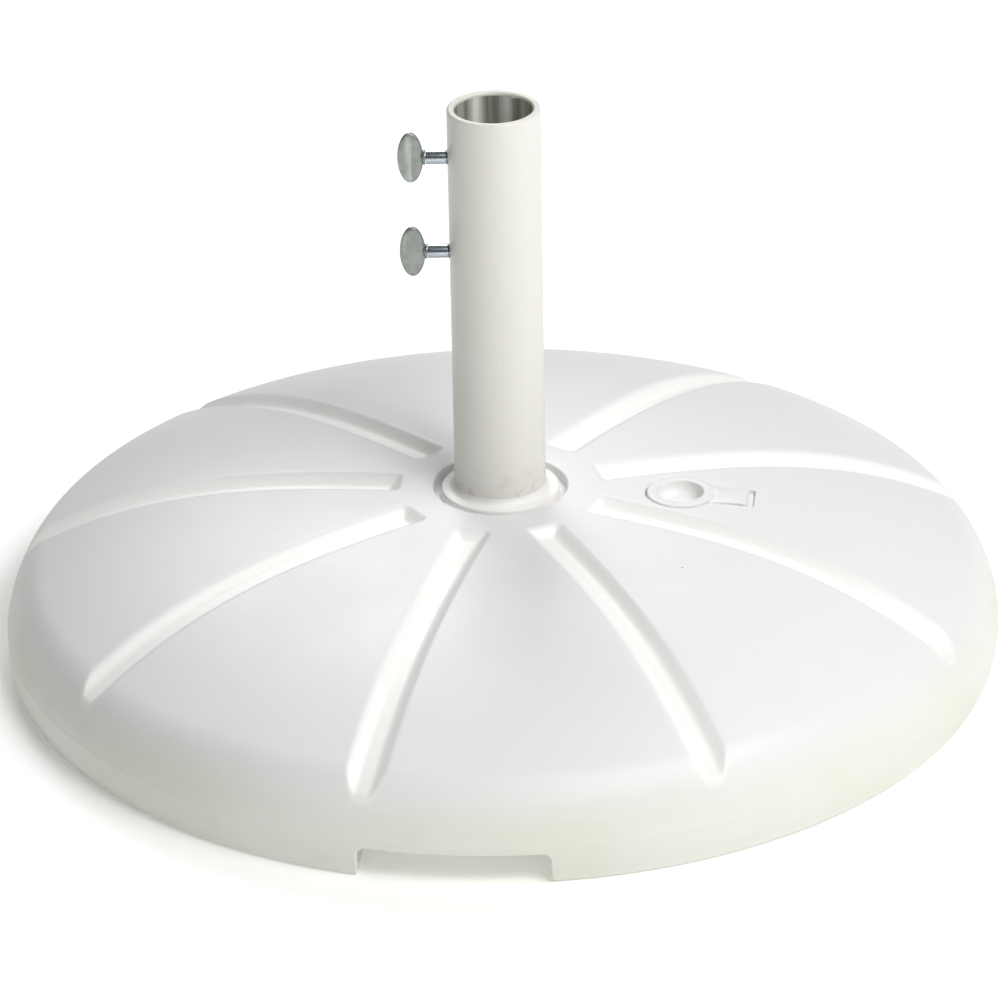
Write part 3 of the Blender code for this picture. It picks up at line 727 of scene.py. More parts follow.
@dataclass
class BallastBody:
    """The fluted, hollow moulding with its well, hand notches and filler pocket."""

    radius: float
    widest_height: float = 0.016
    wall_bow: float = 0.003
    side_wall: float = 0.032
    shoulder_reach: float = 0.021
    hub_height: float = 0.093
    dome_drop: float = 0.037
    dome_power: float = 3.2
    skin: float = 0.004
    foot_fillet: float = 0.004
    foot_ring: float = 0.036
    underside_rise: float = 0.003
    parting_height: float = 0.0215
    parting_proud: float = 0.00022
    flute_count: int = 9
    first_flute_deg: float = 13.8
    flute_width: float = 0.0235
    flute_depth: float = 0.0055
    flute_wall: float = 0.009
    flute_corner: float = 0.0055
    flute_start: float = 0.0535
    crease_blend: float = 0.0012
    notch_count: int = 3
    first_notch_deg: float = 264.1
    notch_width: float = 0.100
    notch_height: float = 0.018
    notch_length: float = 0.040
    notch_corner: float = 0.0045
    notch_lip: float = 0.0011
    notch_flare: float = 0.0045
    well_radius: float = 0.0293
    well_floor: float = 0.0195
    moat_radius: float = 0.0368
    moat_floor: float = 0.087
    recess_radius: float = 0.022
    recess_top: float = 0.0135
    bolt_hole: float = 0.0058
    hub_dust_and_shade_reach: float = 0.004
    foot_dust_and_shade_height: float = 0.012
    flute_light_reach: float = 0.0018
    wall_shade_below: float = 0.05208
    wall_shade_ease: float = 0.022
    filler: FillerPlace = field(default_factory=FillerPlace)

    @property
    def edge_radius(self) -> float:
        """Where the dome ends and the shoulder starts."""
        return self.radius - self.shoulder_reach

    @property
    def slope(self) -> float:
        """The dome's fall at its edge."""
        return self.dome_drop * self.dome_power / (self.edge_radius - self.moat_radius)

    def dome(self, radius: np.ndarray) -> np.ndarray:
        """Height of the dome: the hub's height less a power of the way out, then straight on."""
        way = np.clip(radius, self.moat_radius, self.edge_radius) - self.moat_radius
        way = way / (self.edge_radius - self.moat_radius)
        past = np.maximum(0, radius - self.edge_radius)
        return self.hub_height - self.dome_drop * way**self.dome_power - self.slope * past

    def side(self, height: np.ndarray) -> np.ndarray:
        """Radius of the side wall: a bow whose widest point is at the widest height."""
        away = (height - self.widest_height) / self.widest_height
        return self.radius - self.wall_bow * away**2

    def press(self, radius: np.ndarray, angle: np.ndarray) -> np.ndarray:
        """How deep a flute is pressed at a place.

        The distance inside a bar with rounded corners, over the width of the flute's wall,
        eases from 0 to 1 as three squares less two cubes, times the flute's depth.
        """
        step = 2 * math.pi / self.flute_count
        turn = angle - math.radians(self.first_flute_deg)
        turn = turn - step * np.round(turn / step)
        across, along = radius * np.sin(turn), radius * np.cos(turn)
        beside = np.abs(across) - (self.flute_width / 2 - self.flute_corner)
        before = self.flute_start + self.flute_corner - along
        corner = np.hypot(np.maximum(beside, 0), np.maximum(before, 0))
        outside = corner + np.minimum(np.maximum(beside, before), 0) - self.flute_corner
        way = np.clip(-outside / self.flute_wall, 0, 1)
        return self.flute_depth * way**2 * (3 - 2 * way)

    def shoulder(self, steps: int) -> np.ndarray:
        """A quadratic curve that leaves the dome along its slope and lands along the wall."""
        start = np.array([self.edge_radius, self.hub_height - self.dome_drop])
        end = np.array([self.side(self.side_wall), self.side_wall])
        down = np.array([1.0, -self.slope])
        rise = self.side_wall - self.widest_height
        up = np.array([-2 * self.wall_bow * rise / self.widest_height**2, 1.0])
        reach = np.linalg.solve(np.stack([down, -up], axis=1), end - start)[0]
        way = spread((0, 1), steps)[:, None]
        middle = start + reach * down
        return (1 - way) ** 2 * start + 2 * way * (1 - way) * middle + way**2 * end

    def column_angles(self, radius: np.ndarray) -> np.ndarray:
        """Angles of the columns of each ring, close together across every flute.

        Within a flute the columns share out its width, so they draw apart as the ring
        shrinks, and the rest of each ninth of the ring is divided evenly.
        """
        step = 2 * math.pi / self.flute_count
        reach = 0.56 * self.flute_width
        half = np.arcsin(np.clip(reach / radius, 0, 1))
        half = np.minimum(half, 0.40 * step)[:, None]
        inside = spread((-1, 1), 26)[None]
        between = spread((0, 1), 20)[None, 1:-1]
        one = np.concatenate([half * inside, half + between * (step - 2 * half)], axis=1)
        starts = math.radians(self.first_flute_deg) + step * np.arange(self.flute_count)
        return (starts[None, :, None] + one[:, None, :]).reshape(len(radius), -1)

    def side_profile(self) -> np.ndarray:
        """Side wall, foot and underside as (radius, height), with the mould's parting line."""
        heights = np.concatenate(
            [
                spread((self.side_wall, self.parting_height + 0.0012), 5)[1:],
                self.parting_height + np.array([0.0005, 0.0002, -0.0002, -0.0005]),
                spread((self.parting_height - 0.0012, self.foot_fillet), 8),
            ]
        )
        near = np.clip(1 - np.abs(heights - self.parting_height) / 0.0006, 0, 1)
        wall = np.stack([self.side(heights) + self.parting_proud * np.sqrt(near), heights], axis=1)
        turn = spread(QUARTER_TURN, 8)[1:]
        centre = self.side(self.foot_fillet) - self.foot_fillet
        foot = np.stack(
            [centre + self.foot_fillet * np.cos(turn), self.foot_fillet * (1 - np.sin(turn))], axis=1
        )
        inner = centre - self.foot_ring
        step = rounded(
            [
                (centre - 0.001, 0, 0),
                (inner, 0, 0.001),
                (inner - self.underside_rise, self.underside_rise, 0.001),
                (self.recess_radius + 0.01, self.underside_rise, 0),
            ],
            closed=False,
        )
        return np.concatenate([wall, foot, step[1:-1]])

    def well_profile(self) -> np.ndarray:
        """From the underside up through the bolt's recess and the well to the hub."""
        edge = 0.0012
        return rounded(
            [
                (self.recess_radius + 0.01, self.underside_rise, 0),
                (self.recess_radius, self.underside_rise, edge),
                (self.recess_radius, self.recess_top, edge),
                (self.bolt_hole, self.recess_top, 0.0004),
                (self.bolt_hole, self.well_floor, 0.0004),
                (self.well_radius, self.well_floor, edge),
                (self.well_radius, self.moat_floor, 0.0005),
                (self.moat_radius, self.moat_floor, 0.0008),
                (self.moat_radius, self.hub_height, 0.0011),
                (self.flute_start - 0.008, self.hub_height, 0),
            ],
            closed=False,
        )

    def outer_skin(self) -> Piece:
        """The closed outer face: every ring of the profile, with the flutes pressed in."""
        end_rings = self.flute_start + np.array([-0.004, -0.002])
        start_rings = spread((self.flute_start, self.flute_start + 0.011), 16)
        far_rings = spread((self.flute_start + 0.011, self.edge_radius), 56)[1:]
        radii = np.concatenate([end_rings, start_rings, far_rings])
        dome = np.stack([radii, self.dome(radii)], axis=1)
        shoulder = self.shoulder(24)[1:]
        profile = np.concatenate([self.well_profile(), dome, shoulder, self.side_profile()])
        angle = self.column_angles(np.maximum(profile[:, 0], 0.03))
        radius = np.broadcast_to(profile[:, :1], angle.shape)
        height = np.broadcast_to(profile[:, 1:], angle.shape).copy()
        first = len(self.well_profile())
        last = first + len(dome) + len(shoulder)
        pressed = self.press(radius[first:last], angle[first:last])
        level = height[first:last]
        over = level - (self.dome(radius[first:last]) - pressed)
        blend = np.minimum(self.crease_blend, 0.3 * pressed) + 1e-9
        dip = np.where(
            over > blend, over, np.where(over > -blend, (over + blend) ** 2 / (4 * blend), 0)
        )
        height[first:last] = level - dip
        points = ringed(radius, angle, height).reshape(-1, 3)
        return add_piece("ballast_body", points, [grid_faces(*angle.shape, True)])

    def cavity(self) -> Piece:
        """The inner face of the skin, a skin's thickness inside the outer one."""
        well = self.well_radius + self.skin
        moat = self.moat_radius + self.skin
        centre = self.side(self.foot_fillet) - self.foot_fillet
        inner = centre - self.foot_ring
        near_hub = spread((self.flute_start - 0.006, 0.075), 8)
        radii = np.concatenate([near_hub, spread((0.08, self.edge_radius), 14)])
        dome = np.stack([radii, self.dome(radii) - self.skin], axis=1)
        shoulder = self.shoulder(6)[1:] - np.array([self.skin * 0.8, self.skin * 0.6])
        profile = np.concatenate(
            [
                [(well, self.moat_floor - self.skin), (moat, self.moat_floor - self.skin)],
                [(moat, self.hub_height - self.skin)],
                dome,
                shoulder,
                [(self.side(self.widest_height) - self.skin, self.widest_height)],
                [(centre - self.skin, self.skin), (inner, self.skin)],
                [(inner - self.underside_rise, self.underside_rise + self.skin)],
                [(well, self.underside_rise + self.skin)],
            ]
        )
        angle = self.column_angles(np.maximum(profile[:, 0], 0.03))[:, ::2]
        radius = np.broadcast_to(profile[:, :1], angle.shape)
        height = np.broadcast_to(profile[:, 1:], angle.shape).copy()
        first = 3
        under = slice(first, first + len(dome) + len(shoulder))
        pressed = self.press(radius[under], angle[under])
        height[under] = np.minimum(height[under], self.dome(radius[under]) - pressed - self.skin)
        points = ringed(radius, angle, height).reshape(-1, 3)
        return add_piece("cavity", points, [grid_faces(*angle.shape, True)])

    def notch_tool(self, angle: float, grow: float) -> Piece:
        """A hand notch: a rounded bar pushed in from the side, whose lip follows the wall.

        Args:
            angle: The notch's place round the pole.
            grow: How much larger the notch is on every side.

        Returns:
            The cutter.
        """
        under, deep, near_skin = -0.0004, self.notch_length, -0.02

        def opening(extra: float) -> np.ndarray:
            """The notch's opening, grown by an amount, which flares out where it meets the foot."""
            half = self.notch_width / 2 + grow + extra
            top, corner = self.notch_height + grow + extra, self.notch_corner + grow + extra
            wing = (half + 0.012, under - 0.006, 0)
            right = [(half, top, corner), (half, under, self.notch_flare), wing]
            right.append((half + 0.012, -0.02, 0))
            left = [(-across, height, rounding) for across, height, rounding in right[::-1]]
            return rounded(right + left, 7)

        def outline(extra: float) -> np.ndarray:
            """The opening with its long sides divided, so that it can follow the wall."""
            return dense(opening(extra), opening(0), 0.004)

        def place(loop: np.ndarray, level: float) -> np.ndarray:
            """Moves a loop out to the wall: the wall's radius at its height, less its own sag."""
            across, height = loop[:, 0], loop[:, 1]
            wall = self.side(np.clip(height, 0, self.side_wall))
            skin = np.sqrt(wall**2 - across**2)
            flat = self.radius - self.notch_length - grow
            out = skin + level if level > near_skin else np.full(len(across), flat - level - deep)
            return np.stack([out, across, height], axis=1)

        tool = flared_tool("notch_tool", outline, place, deep, self.notch_lip, 0.0015)
        return moved(tool, Matrix.Rotation(angle, 4, "Z"))

    def pocket_tools(self) -> list[Piece]:
        """The plug's round seat and the slot for its tab, whose lips follow the dome."""
        filler = self.filler
        centre_height = float(self.dome(np.array([filler.radius]))[0])
        turn = math.radians(filler.turn_deg)

        def placer(floor: float) -> Callable[[np.ndarray, float], np.ndarray]:
            """Puts loops on the dome, and the lowest ones on a level floor."""

            def place(loop: np.ndarray, level: float) -> np.ndarray:
                """Levels near the skin follow the dome, and the rest ease to the floor."""
                x = filler.radius + loop[:, 0]
                y = loop[:, 1]
                skin = self.dome(np.hypot(x, y))
                share = np.clip(-level / floor, 0, 1)
                height = (skin + level) * (1 - share) + (centre_height - floor) * share
                across = x * math.cos(turn) - y * math.sin(turn)
                along = x * math.sin(turn) + y * math.cos(turn)
                return np.stack([across, along, height], axis=1)

            return place

        def seat(extra: float) -> np.ndarray:
            """A circle round the plug."""
            angle = around(96)
            return (filler.seat_radius + extra) * np.stack([np.cos(angle), np.sin(angle)], axis=1)

        def bar(extra: float) -> np.ndarray:
            """A bar from the plug's middle to past the end of its tab."""
            size = (filler.slot_end + 2 * extra, filler.slot_width + 2 * extra)
            return rounded_bar(*size, filler.slot_corner + extra) + np.array([filler.slot_end / 2, 0])

        def slot(extra: float) -> np.ndarray:
            """The bar with its long sides divided, so that it can follow the dome."""
            return dense(bar(extra), bar(0), 0.002)

        drop = centre_height - float(self.dome(np.array([filler.radius + filler.slot_end]))[0])
        deep = filler.seat_depth
        seat_tool = flared_tool("seat_tool", seat, placer(deep), deep, 0.0008, 0.0006)
        slot_floor = filler.seat_depth + drop / 2
        slot_tool = flared_tool("slot_tool", slot, placer(slot_floor), slot_floor, 0.0007, 0.0006)
        neck = pin("neck_tool", filler.neck_radius, -filler.neck_depth, 0.02, 96)
        return [seat_tool, slot_tool, moved(neck, filler.matrix(centre_height))]

    def build(self) -> Piece:
        """Cuts the cavity, the notches and the filler out of the outer skin."""
        body = self.outer_skin()
        cavity = self.cavity()
        step = 2 * math.pi / self.notch_count
        turns = math.radians(self.first_notch_deg) + step * np.arange(self.notch_count)
        for turn in turns:
            cut(cavity, self.notch_tool(float(turn), self.skin))
        seat_tool, slot_tool, neck = self.pocket_tools()
        cut(cavity, self.pocket_walls())
        fuse(cavity, neck)
        cut(body, cavity)
        for turn in turns:
            cut(body, self.notch_tool(float(turn), 0.0))
        for tool in (seat_tool, slot_tool):
            cut(body, tool)
        self.wear(body)
        return dress(body, BODY_RESIN)

    def wear(self, body: Piece) -> None:
        """Marks dust and painted crevice shade, painted flute light and painted wall shade on the body.

        Dust and painted crevice shade fade away from the moat and up from the foot. The flute floors get
        painted
        bounce light: their depth times a bell curve of the distance off their floor. The wall gets painted
        shade below the dome.
        """
        points = corners_of(body)
        radius, angle = np.hypot(points[:, 0], points[:, 1]), np.arctan2(points[:, 1], points[:, 0])
        pressed = self.press(radius, angle)
        off_floor = points[:, 2] - (self.dome(radius) - pressed)
        groove = pressed / self.flute_depth * np.exp(-((off_floor / self.flute_light_reach) ** 2))
        # Dust and painted crevice shade round the moat and up from the foot.
        hub = np.clip(1 - np.abs(radius - self.moat_radius) / self.hub_dust_and_shade_reach, 0, 1)
        foot = np.clip(1 - points[:, 2] / self.foot_dust_and_shade_height, 0, 1)
        mark(body, "dust_and_shade", np.clip(hub * 0.8 + foot * 0.6, 0, 1))
        # Painted bounce light in the flute floors.
        mark(body, "flute_light", np.clip(groove * 3.0, 0, 1))
        # Painted wall shade: full low on the side wall, easing out towards the dome.
        mark(body, "painted_wall_shade", np.clip((self.wall_shade_below - points[:, 2]) / self.wall_shade_ease, 0, 1))

    def pocket_walls(self) -> Piece:
        """What the cavity leaves round the filler's seat and slot: the two grown by a skin."""
        filler = self.filler
        height = float(self.dome(np.array([filler.radius]))[0])
        low = -filler.seat_depth - self.skin - 0.004
        wide = filler.seat_radius + self.skin
        seat = pin("pocket_walls", wide, low, 0.02)
        bar = rounded_bar(filler.slot_end + 2 * self.skin, filler.slot_width + 2 * self.skin, 0.004)
        loop = bar + np.array([filler.slot_end / 2, 0])
        rings = [np.column_stack([loop, np.full(len(loop), level)]) for level in (0.02, low)]
        slot = lidded(np.array(rings), "slot_walls", (True, True))
        fuse(seat, slot)
        return moved(seat, filler.matrix(height))


# ---------------------------------------------------------------- plug, tube and collar


@dataclass
class FillerPlug:
    """The cup-shaped plug with its round rim and its pull tab."""

    seat: FillerPlace
    height: float
    rim_radius: float = 0.0185
    rim_height: float = 0.004
    rim_proud: float = 0.0006
    rim_round: float = 0.0012
    cup_radius: float = 0.0125
    cup_wall: float = 0.002
    cup_depth: float = 0.008
    tab_length: float = 0.0185
    tab_width: float = 0.019
    tab_thickness: float = 0.0025

    def build(self) -> Piece:
        """The turned cup and rim, joined to the tab."""
        top, seat = self.rim_proud, self.rim_proud - self.rim_height
        floor = top - self.cup_depth
        outer = self.cup_radius + self.cup_wall
        cup = rounded(
            [
                (0, floor, 0),
                (self.cup_radius, floor, 0.0052),
                (self.cup_radius, top, self.rim_round),
                (self.rim_radius, top, self.rim_round),
                (self.rim_radius, seat, 0.0004),
                (outer, seat, 0.0005),
                (outer, floor - self.cup_wall, 0.0008),
                (0, floor - self.cup_wall, 0),
            ],
            closed=False,
        )
        plug = turned("filler_plug_moulding", cup, 128)
        length = self.rim_radius + self.tab_length - outer
        loop = rounded_bar(length, self.tab_width, 0.002) + np.array([outer + length / 2, 0])
        middle = np.array([outer + length / 2, 0])
        edge, half = 0.0007, self.tab_width / 2
        levels = [(1.0, 0.0), (1.0, self.tab_thickness - edge)]
        for turn in spread(QUARTER_TURN, 4)[1:]:
            drawn_in = edge * (1 - math.cos(turn)) / half
            levels.append((1 - drawn_in, self.tab_thickness - edge * (1 - math.sin(turn))))
        rings = [
            np.column_stack([middle + (loop - middle) * share, np.full(len(loop), seat + rise)])
            for share, rise in levels
        ]
        tab = lidded(np.array(rings), "tab", (True, True))
        fuse(plug, tab)
        moved(plug, self.seat.matrix(self.height))
        points = corners_of(plug)
        # Dust and painted shade: darker the deeper a point lies below the dome's skin.
        mark(plug, "dust_and_shade", np.clip((self.height - 0.001 - points[:, 2]) / 0.006, 0, 1) * 0.5)
        return dress(plug, PLUG_RESIN)


@dataclass
class PoleTube:
    """The painted steel tube, bare inside, with its two screw holes and its inner weld bead."""

    low: float
    top: float
    screw_heights: Pair
    radius: float = 0.025
    wall: float = 0.004
    lip: float = 0.0017
    screw_radius: float = 0.0043
    paint_depth: float = 0.0021
    bead_width: float = 0.0011
    bead_height: float = 0.0005
    bead_deg: float = 58.0
    # Bearing, width in degrees and share of each painted highlight streak in the bore.
    painted_highlight: tuple[Triple, ...] = (
        (116, 10, 1.0), (70, 9, 0.95), (148, 10, 0.4), (36, 9, 0.35),
    )

    def screw_hole(self) -> np.ndarray:
        """The profile of a hole from outside the tube to the middle of its bore."""
        start = -2 * self.radius
        return np.array([(0, start), (self.screw_radius, start), (self.screw_radius, 0), (0, 0)])

    def build(self) -> Piece:
        """A ring profile spun round the pole, with the weld bead raised along its bore."""
        bore = self.radius - self.wall
        inner = spread((self.low, self.top - self.paint_depth), 12)
        lips = rounded(
            [
                (bore, self.top - 0.0019, 0),
                (bore, self.top, self.lip),
                (self.radius, self.top, self.lip),
                (self.radius, self.low, 0),
            ],
            8,
            closed=False,
        )
        outside = spread((self.top - 0.003, self.low), 24)
        profile = np.concatenate(
            [
                np.stack([np.full(len(inner), bore), inner], axis=1),
                lips[:-1],
                np.stack([np.full(len(outside), self.radius), outside], axis=1),
            ]
        )
        steps = 160
        angle = around(steps)
        radius = np.broadcast_to(profile[:, :1], (len(profile), steps)).copy()
        off = angle - math.radians(self.bead_deg)
        bead = np.exp(-((off * bore / self.bead_width) ** 2)) * self.bead_height
        radius[: len(inner)] -= bead
        points = ringed(radius, angle, profile[:, 1:]).reshape(-1, 3)
        tube = add_piece("painted_pole_tube", points, [grid_faces(len(profile), steps, True)])
        for place in self.screw_heights:
            hole = turned("screw_hole", self.screw_hole(), 48, Axis.ACROSS)
            cut(tube, moved(hole, Matrix.Translation((0, 0, place))))
        points = corners_of(tube)
        turn = np.degrees(np.arctan2(points[:, 1], points[:, 0]))
        inside = np.hypot(points[:, 0], points[:, 1]) < bore + 0.0004
        # Painted highlights: bright upright streaks on the bore's inside only.
        streaks = sum(share * np.exp(-(((turn - at) / wide) ** 2)) for at, wide, share in self.painted_highlight)
        mark(tube, "painted_highlight", np.where(inside, np.clip(streaks, 0, 1), 0))
        dress(tube, PowderCoat(), BORE_STEEL)
        middles = np.empty(len(tube.data.polygons) * 3, np.float32)
        tube.data.polygons.foreach_get("center", middles)
        middles = middles.reshape(-1, 3)
        out = np.hypot(middles[:, 0], middles[:, 1])
        bare = (out < self.radius - 0.0006) & (middles[:, 2] < self.top - self.paint_depth)
        tube.data.polygons.foreach_set("material_index", bare.astype(np.int32))
        return tube


@dataclass
class TubeCollar:
    """The moulded bush that closes the gap between the tube and the body."""

    bore: float = 0.02506
    flange_radius: float = 0.0325
    base: float = 0.0873
    flange_height: float = 0.0055
    sleeve_radius: float = 0.0290
    sleeve_length: float = 0.030
    fillet: float = 0.0035

    def build(self) -> Piece:
        """A ring with a concave fillet up against the tube and a rounded flange."""
        top = self.base + self.flange_height
        turn = spread((math.pi, 1.5 * math.pi), 12)
        lip = 0.00015
        centre = (self.bore + lip + self.fillet, top + self.fillet)
        swept = self.fillet * np.stack([np.cos(turn), np.sin(turn)], axis=1)
        fillet = np.array(centre) + swept
        below = rounded(
            [
                (self.flange_radius - 0.004, top, 0),
                (self.flange_radius, top, 0.0011),
                (self.flange_radius, self.base, 0.0004),
                (self.sleeve_radius, self.base, 0.0004),
                (self.sleeve_radius, self.base - self.sleeve_length, 0.0008),
                (self.bore, self.base - self.sleeve_length, 0.0004),
                (self.bore, top + self.fillet, 0),
            ],
            closed=False,
        )
        profile = np.concatenate([fillet, below[1:]])
        collar = turned("tube_collar_bush", profile, 160)
        points = corners_of(collar)
        radius = np.hypot(points[:, 0], points[:, 1])
        at_tube = np.clip(1 - (radius - self.bore) / 0.003, 0, 1)
        at_rim = np.clip(1 - (self.flange_radius - radius) / 0.0012, 0, 1)
        # Dust and painted crease shade where the collar meets the tube and at its flange's rim.
        mark(collar, "dust_and_shade", np.maximum(at_tube, at_rim))
        return dress(collar, COLLAR_RESIN)


# ---------------------------------------------------------------- screws and hardware


@dataclass
class Thread:
    """A screw thread's size."""

    radius: float
    pitch: float
    depth: float

    def surface(self, name: str, ends: Pair, axis: Axis, chamfer: float) -> Piece:
        """A threaded rod: the radius falls and rises once in every pitch of the helix.

        The way round a pitch is the place along the rod over the pitch, less the share of a
        turn, and the radius drops with the distance of that way from its half. Both ends
        taper to the root.

        Args:
            name: The new piece's name.
            ends: Where the rod starts and ends along its axis.
            axis: The rod's axis.
            chamfer: How far in from each end the taper reaches.

        Returns:
            The piece.
        """
        rings_per_pitch = 8
        length = abs(ends[1] - ends[0])
        along = spread(ends, max(2, int(round(length / self.pitch * rings_per_pitch))))
        angle = around(40)
        way = along[:, None] / self.pitch - angle / (2 * math.pi)
        tooth = np.abs((way % 1.0) - 0.5) * 2
        crest = np.clip((tooth - 0.12) / 0.7, 0, 1)
        radius = self.radius - self.depth * (1 - crest)
        from_end = np.minimum(np.abs(along - ends[0]), np.abs(along - ends[1]))[:, None]
        radius = np.minimum(radius, self.radius - self.depth + from_end * self.depth / chamfer)
        return lidded(ringed(radius, angle, along[:, None], axis), name, (True, True))


SCREW_THREAD = Thread(radius=0.004, pitch=0.00125, depth=0.00045)
BOLT_THREAD = Thread(radius=0.005, pitch=0.0015, depth=0.0006)


@dataclass
class ThumbScrew:
    """A threaded stud through the tube's wall and the cast oval head on its end."""

    label: str
    height: float
    face: float = 0.0365
    tip: float = 0.0183
    shank_radius: float = 0.00375
    spigot_radius: float = 0.0012
    spigot_length: float = 0.006
    head_length: float = 0.0138
    head_height: float = 0.0285
    head_thickness: float = 0.0034
    neck_radius: float = 0.0041
    neck_end: float = 0.0013
    neck_length: float = 0.0060
    gap: float = 0.0003
    plain_length: float = 0.0100
    casting_voxel: float = 0.00028

    def stud(self) -> Piece:
        """The threaded shank with a plain length and a spigot behind it."""
        name = f"{self.label}_threaded_stud"
        ends = (-self.face + self.plain_length, -self.tip)
        rod = SCREW_THREAD.surface(name, ends, Axis.ACROSS, 0.0008)
        start = -self.face + self.plain_length + 0.001
        shank = rounded(
            [
                (0, start, 0),
                (0.0034, start, 0),
                (self.shank_radius, start - 0.0006, 0.0002),
                (self.shank_radius, -self.face, 0.0003),
                (self.spigot_radius, -self.face, 0),
                (self.spigot_radius, -self.face - self.spigot_length, 0.0005),
                (0, -self.face - self.spigot_length, 0),
            ],
            closed=False,
        )
        fuse(rod, turned(f"{name}_shank", shank, 48, Axis.ACROSS))
        moved(rod, Matrix.Translation((0, 0, self.height)))
        return dress(rod, ZINC_PLATE)

    def spade(self) -> Piece:
        """The oval spade, on edge to the pole.

        Rings run from one flat's middle over the rim to the other: each is an ellipse of the
        head's outline, its share of full size and its place across the thickness given by
        low powers of a cosine and of a sine. An upright crown thins the plate by a share of
        the square of the way out to either side, so that it catches light in upright bands.
        """
        swing = spread((-math.pi / 2, math.pi / 2), 26)
        share = np.cos(swing).clip(0) ** 0.32
        across = np.sign(np.sin(swing)) * np.abs(np.sin(swing)) ** 0.42 * self.head_thickness / 2
        turn = around(72)
        middle = -self.face - self.gap - self.head_length / 2 - 0.0011
        x = middle + self.head_length / 2 * share[:, None] * np.cos(turn)
        z = self.head_height / 2 * share[:, None] * np.sin(turn)
        crown = 1 - 0.34 * (share[:, None] * np.cos(turn)) ** 2
        y = across[:, None] * crown
        return lidded(np.stack([x, y, z], axis=-1)[1:-1], f"{self.label}_spade", (True, True))

    def head(self) -> Piece:
        """Spade and neck fused as one casting, with the spigot's socket drilled into it."""
        face = -self.face - self.gap
        neck = rounded(
            [
                (0, face, 0),
                (self.neck_radius, face, 0.0004),
                (self.neck_radius, face - 0.0008, 0.0005),
                (0.0016, face - 0.0026, 0.0008),
                (self.neck_end, face - self.neck_length, 0.0003),
                (0, face - self.neck_length - 0.0006, 0),
            ],
            closed=False,
        )
        head = turned(f"{self.label}_cast_head", neck, 48, Axis.ACROSS)
        start = face - 0.0004
        fan = [(0, start, 0), (0.0036, start, 0), (0.0060, start - 0.0031, 0.001)]
        fan += [(0.0030, start - 0.0078, 0), (0, start - 0.0078, 0)]
        web = turned("web", rounded(fan, closed=False), 48, Axis.ACROSS)
        fuse(head, moved(web, Matrix.Diagonal((1, 0.27, 1, 1))))
        fuse(head, self.spade())
        remesh = head.modifiers.new("Casting", "REMESH")
        remesh.mode = "VOXEL"
        remesh.voxel_size = self.casting_voxel
        soften = head.modifiers.new("Softened", "SMOOTH")
        soften.iterations = 5
        soften.factor = 0.5
        settle(head, CASTING_CREASE_DEG)
        deep = face - self.spigot_length - self.gap
        wide = self.spigot_radius + self.gap
        cut(head, pin("socket", wide, deep, face + 0.004, axis=Axis.ACROSS))
        moved(head, Matrix.Translation((0, 0, self.height)))
        return dress(head, CastZinc())


@dataclass
class BottomHardware:
    """The end plate, the bolt and its two washers under the well."""

    plate_top: float = 0.0278
    plate_low: float = 0.0198
    plate_radius: float = 0.0207
    hole_radius: float = 0.0053
    washer_top: float = 0.0132
    washer_low: float = 0.0112
    washer_radius: float = 0.018
    spring_top: float = 0.0109
    spring_low: float = 0.0087
    spring_radius: float = 0.00825
    spring_split: float = 0.0012
    head_top: float = 0.0084
    head_low: float = 0.0020
    head_flats: float = 0.016
    tip: float = 0.0308

    def ring(self, outer: float, low: float, top: float) -> np.ndarray:
        """The section of a washer round the bolt, with its corners rounded."""
        inner, edge = self.hole_radius, 0.0003
        corners = [(inner, low, edge), (outer, low, edge), (outer, top, edge), (inner, top, edge)]
        return rounded(corners, 4)

    def plate(self) -> Piece:
        """The tapped end plate, with a chamfered mouth."""
        corners = [
            (self.hole_radius, self.plate_low, 0),
            (self.plate_radius, self.plate_low, 0.0006),
            (self.plate_radius, self.plate_top, 0.0006),
            (self.hole_radius + 0.001, self.plate_top, 0.0002),
            (self.hole_radius, self.plate_top - 0.001, 0.0002),
        ]
        return dress(turned("tapped_end_plate", rounded(corners, 4), 128), BARE_STEEL)

    def washer(self) -> Piece:
        """The wide flat washer."""
        section = self.ring(self.washer_radius, self.washer_low, self.washer_top)
        return dress(turned("flat_washer", section, 128), ZINC_PLATE)

    def spring_washer(self) -> Piece:
        """The split washer: one turn of a flat bar whose ends stand a split apart."""
        split = self.spring_split / self.spring_radius
        turn = spread((split / 2, 2 * math.pi - split / 2), 96)
        bar = self.ring(self.spring_radius, self.spring_low, self.spring_top)
        points = ringed(bar[None, :, 0], turn[:, None], bar[None, :, 1])
        return dress(lidded(points, "spring_washer", (True, True)), ZINC_PLATE)

    def bolt(self) -> Piece:
        """A threaded shank on a hexagon head whose corners are turned off.

        The head's radius is half its width over the cosine of the angle from the middle of
        the nearest flat, and no more than a limit that grows over the first 2 mm.
        """
        ends = (self.head_top - 0.001, self.tip)
        bolt = BOLT_THREAD.surface("hexagon_bolt", ends, Axis.UP, 0.0012)
        across = self.head_flats / 2
        turn = around(96)
        sector = (turn + math.pi / 6) % (math.pi / 3) - math.pi / 6
        flat = across / np.cos(sector)
        levels = np.array([0.0, 0.0008, 0.0018, self.head_top - self.head_low])
        limit = np.array([across * 0.95, across * 1.02, across * 1.3, across * 1.3])
        radius = np.minimum(flat[None], limit[:, None])
        points = ringed(radius, turn, (self.head_low + levels)[:, None])
        fuse(bolt, lidded(points, "head", (True, True)))
        return dress(bolt, ZINC_PLATE)


# ---------------------------------------------------------------- studio


# Name, bearing and lift in degrees, and watts of each lamp
LAMPS = (("right", -10, 52, 12.0), ("key", -35, 52, 26.0), ("front", -60, 52, 35.0), ("back", 100, 45, 30.0))


